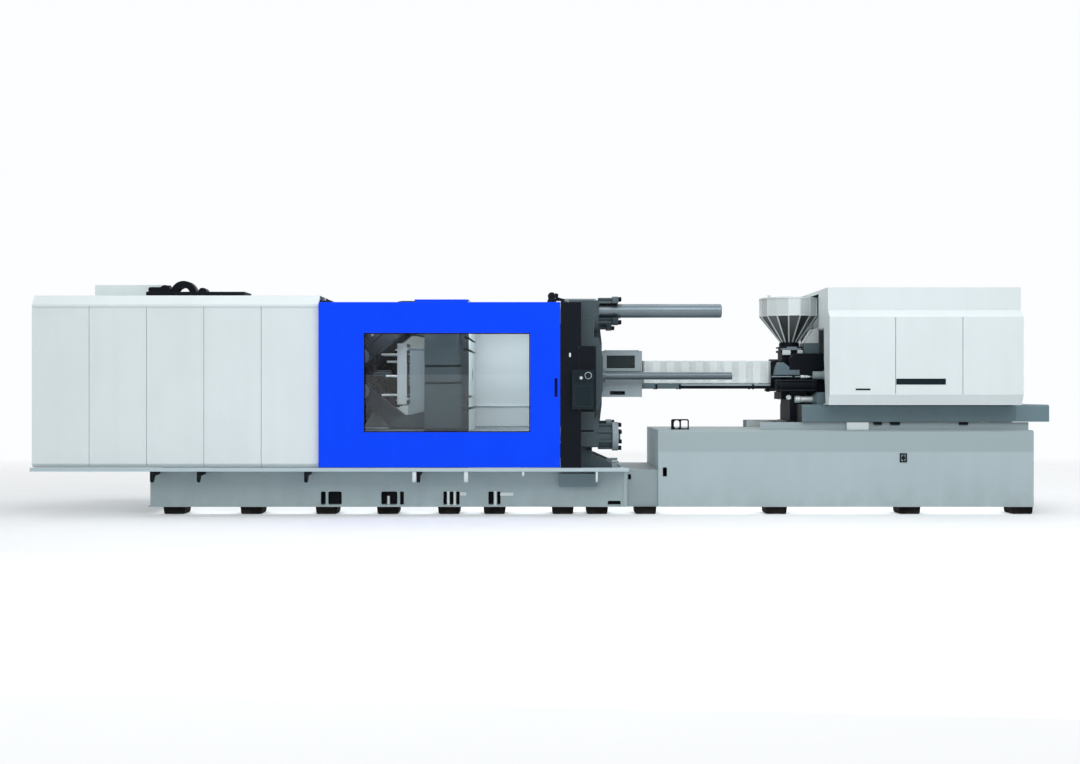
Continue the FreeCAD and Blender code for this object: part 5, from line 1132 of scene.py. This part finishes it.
def make_stage():
    """Floor, surround, lamps, and the camera, level and square to the machine's front."""
    make_floor()
    make_world()
    for lamp in LAMPS:
        softbox(*lamp)
    sizes = bpy.context.scene.machine_sizes
    data = bpy.data.cameras.new("camera")
    data.lens = sizes.focal_length
    data.sensor_width = 36.0
    data.shift_y = HORIZON_SHIFT
    data.clip_end = 200.0
    place = (CAMERA_X, -sizes.camera_distance, sizes.camera_height)
    bpy.context.scene.camera = aimed("camera", data, place, (CAMERA_X, 0.0, sizes.camera_height))
    bpy.context.scene.view_settings.view_transform = "Standard"


# ---------------- operators and panel
class MachineOperator(bpy.types.Operator):
    """Base of the machine's operators: each names as make the function that makes its pieces."""
    bl_options = {"REGISTER", "UNDO"}

    def execute(self, context):
        """Makes the pieces; a fault in them raises an error."""
        self.make()
        return {"FINISHED"}


class MACHINE_OT_finishes(MachineOperator):
    """Paint and metal finishes, and the solids that take them"""
    bl_idname = "machine.finishes"
    bl_label = "Finishes"
    make = staticmethod(make_finishes)


class MACHINE_OT_barrel_cover(MachineOperator):
    """Perforated barrel cover with straps, end plates and heater bands"""
    bl_idname = "machine.barrel_cover"
    bl_label = "Barrel cover"
    make = staticmethod(make_barrel_cover)


class MACHINE_OT_threads(MachineOperator):
    """Ball screw turns and plasticising screw flights"""
    bl_idname = "machine.threads"
    bl_label = "Threads and flights"
    make = staticmethod(make_threads)


class MACHINE_OT_screws(MachineOperator):
    """Cap screws of the tie bar nuts"""
    bl_idname = "machine.screws"
    bl_label = "Nut screws"
    make = staticmethod(make_nut_screws)


class MACHINE_OT_hopper_trim(MachineOperator):
    """Seams, rim and throat fittings of the hopper"""
    bl_idname = "machine.hopper_trim"
    bl_label = "Hopper trim"
    make = staticmethod(make_hopper_trim)


class MACHINE_OT_unit_fittings(MachineOperator):
    """Sleeves, slim rods, cylinders, brackets and trims of the injection unit"""
    bl_idname = "machine.unit_fittings"
    bl_label = "Injection unit fittings"
    make = staticmethod(make_unit_fittings)


class MACHINE_OT_cover_trim(MachineOperator):
    """Trims, strip and grip of the covers"""
    bl_idname = "machine.cover_trim"
    bl_label = "Cover trim"
    make = staticmethod(make_cover_trim)


class MACHINE_OT_door_trim(MachineOperator):
    """Handles, window seal, roller, catch and screws of the doors and post"""
    bl_idname = "machine.door_trim"
    bl_label = "Door trim"
    make = staticmethod(make_door_trim)


class MACHINE_OT_controls(MachineOperator):
    """Screen, keys, lamps and rings of the control panel"""
    bl_idname = "machine.controls"
    bl_label = "Controls"
    make = staticmethod(make_controls)


class MACHINE_OT_valve_block(MachineOperator):
    """Block of valves behind the toggles"""
    bl_idname = "machine.valve_block"
    bl_label = "Valve block"
    make = staticmethod(make_valve_block)


class MACHINE_OT_clamp_bed(MachineOperator):
    """Clamp bed with its windows, sill brackets and duct boxes"""
    bl_idname = "machine.clamp_bed"
    bl_label = "Clamp bed"
    make = staticmethod(make_clamp_bed)


class MACHINE_OT_bed_fittings(MachineOperator):
    """Flange, studs, brackets, guards, clamps and latch plate of the beds"""
    bl_idname = "machine.bed_fittings"
    bl_label = "Bed fittings"
    make = staticmethod(make_bed_fittings)


class MACHINE_OT_stage(MachineOperator):
    """Floor, surround, soft lamps and camera"""
    bl_idname = "machine.stage"
    bl_label = "Studio"
    make = staticmethod(make_stage)


OPERATORS = (MACHINE_OT_finishes, MACHINE_OT_barrel_cover, MACHINE_OT_threads, MACHINE_OT_screws,
             MACHINE_OT_hopper_trim, MACHINE_OT_unit_fittings, MACHINE_OT_cover_trim, MACHINE_OT_door_trim,
             MACHINE_OT_controls, MACHINE_OT_valve_block, MACHINE_OT_clamp_bed, MACHINE_OT_bed_fittings,
             MACHINE_OT_stage)


class MACHINE_PT_panel(bpy.types.Panel):
    """Sizes, colours and making of the machine"""
    bl_idname = "MACHINE_PT_panel"
    bl_label = "Moulding machine"
    bl_space_type = "VIEW_3D"
    bl_region_type = "UI"
    bl_category = "Machine"

    def draw(self, context):
        """Lists every size, colour and operator."""
        for group in (context.scene.machine_sizes, context.scene.machine_colours):
            box = self.layout.box()
            for name in group.__annotations__:
                box.prop(group, name)
        for operator in OPERATORS:
            self.layout.operator(operator.bl_idname)


CLASSES = (MachineColours, MachineSizes, *OPERATORS, MACHINE_PT_panel)


def register():
    """Registers the classes and the scene's settings."""
    for each in CLASSES:
        bpy.utils.register_class(each)
    bpy.types.Scene.machine_colours = bpy.props.PointerProperty(type=MachineColours)
    bpy.types.Scene.machine_sizes = bpy.props.PointerProperty(type=MachineSizes)


def unregister():
    """Takes the settings and classes away."""
    del bpy.types.Scene.machine_sizes
    del bpy.types.Scene.machine_colours
    for each in reversed(CLASSES):
        bpy.utils.unregister_class(each)


def main():
    """Makes everything in order."""
    register()
    for operator in OPERATORS:
        group, name = operator.bl_idname.split(".")
        getattr(getattr(bpy.ops, group), name)()
    bpy.context.view_layer.update()


if __name__ == "__main__":
    main()
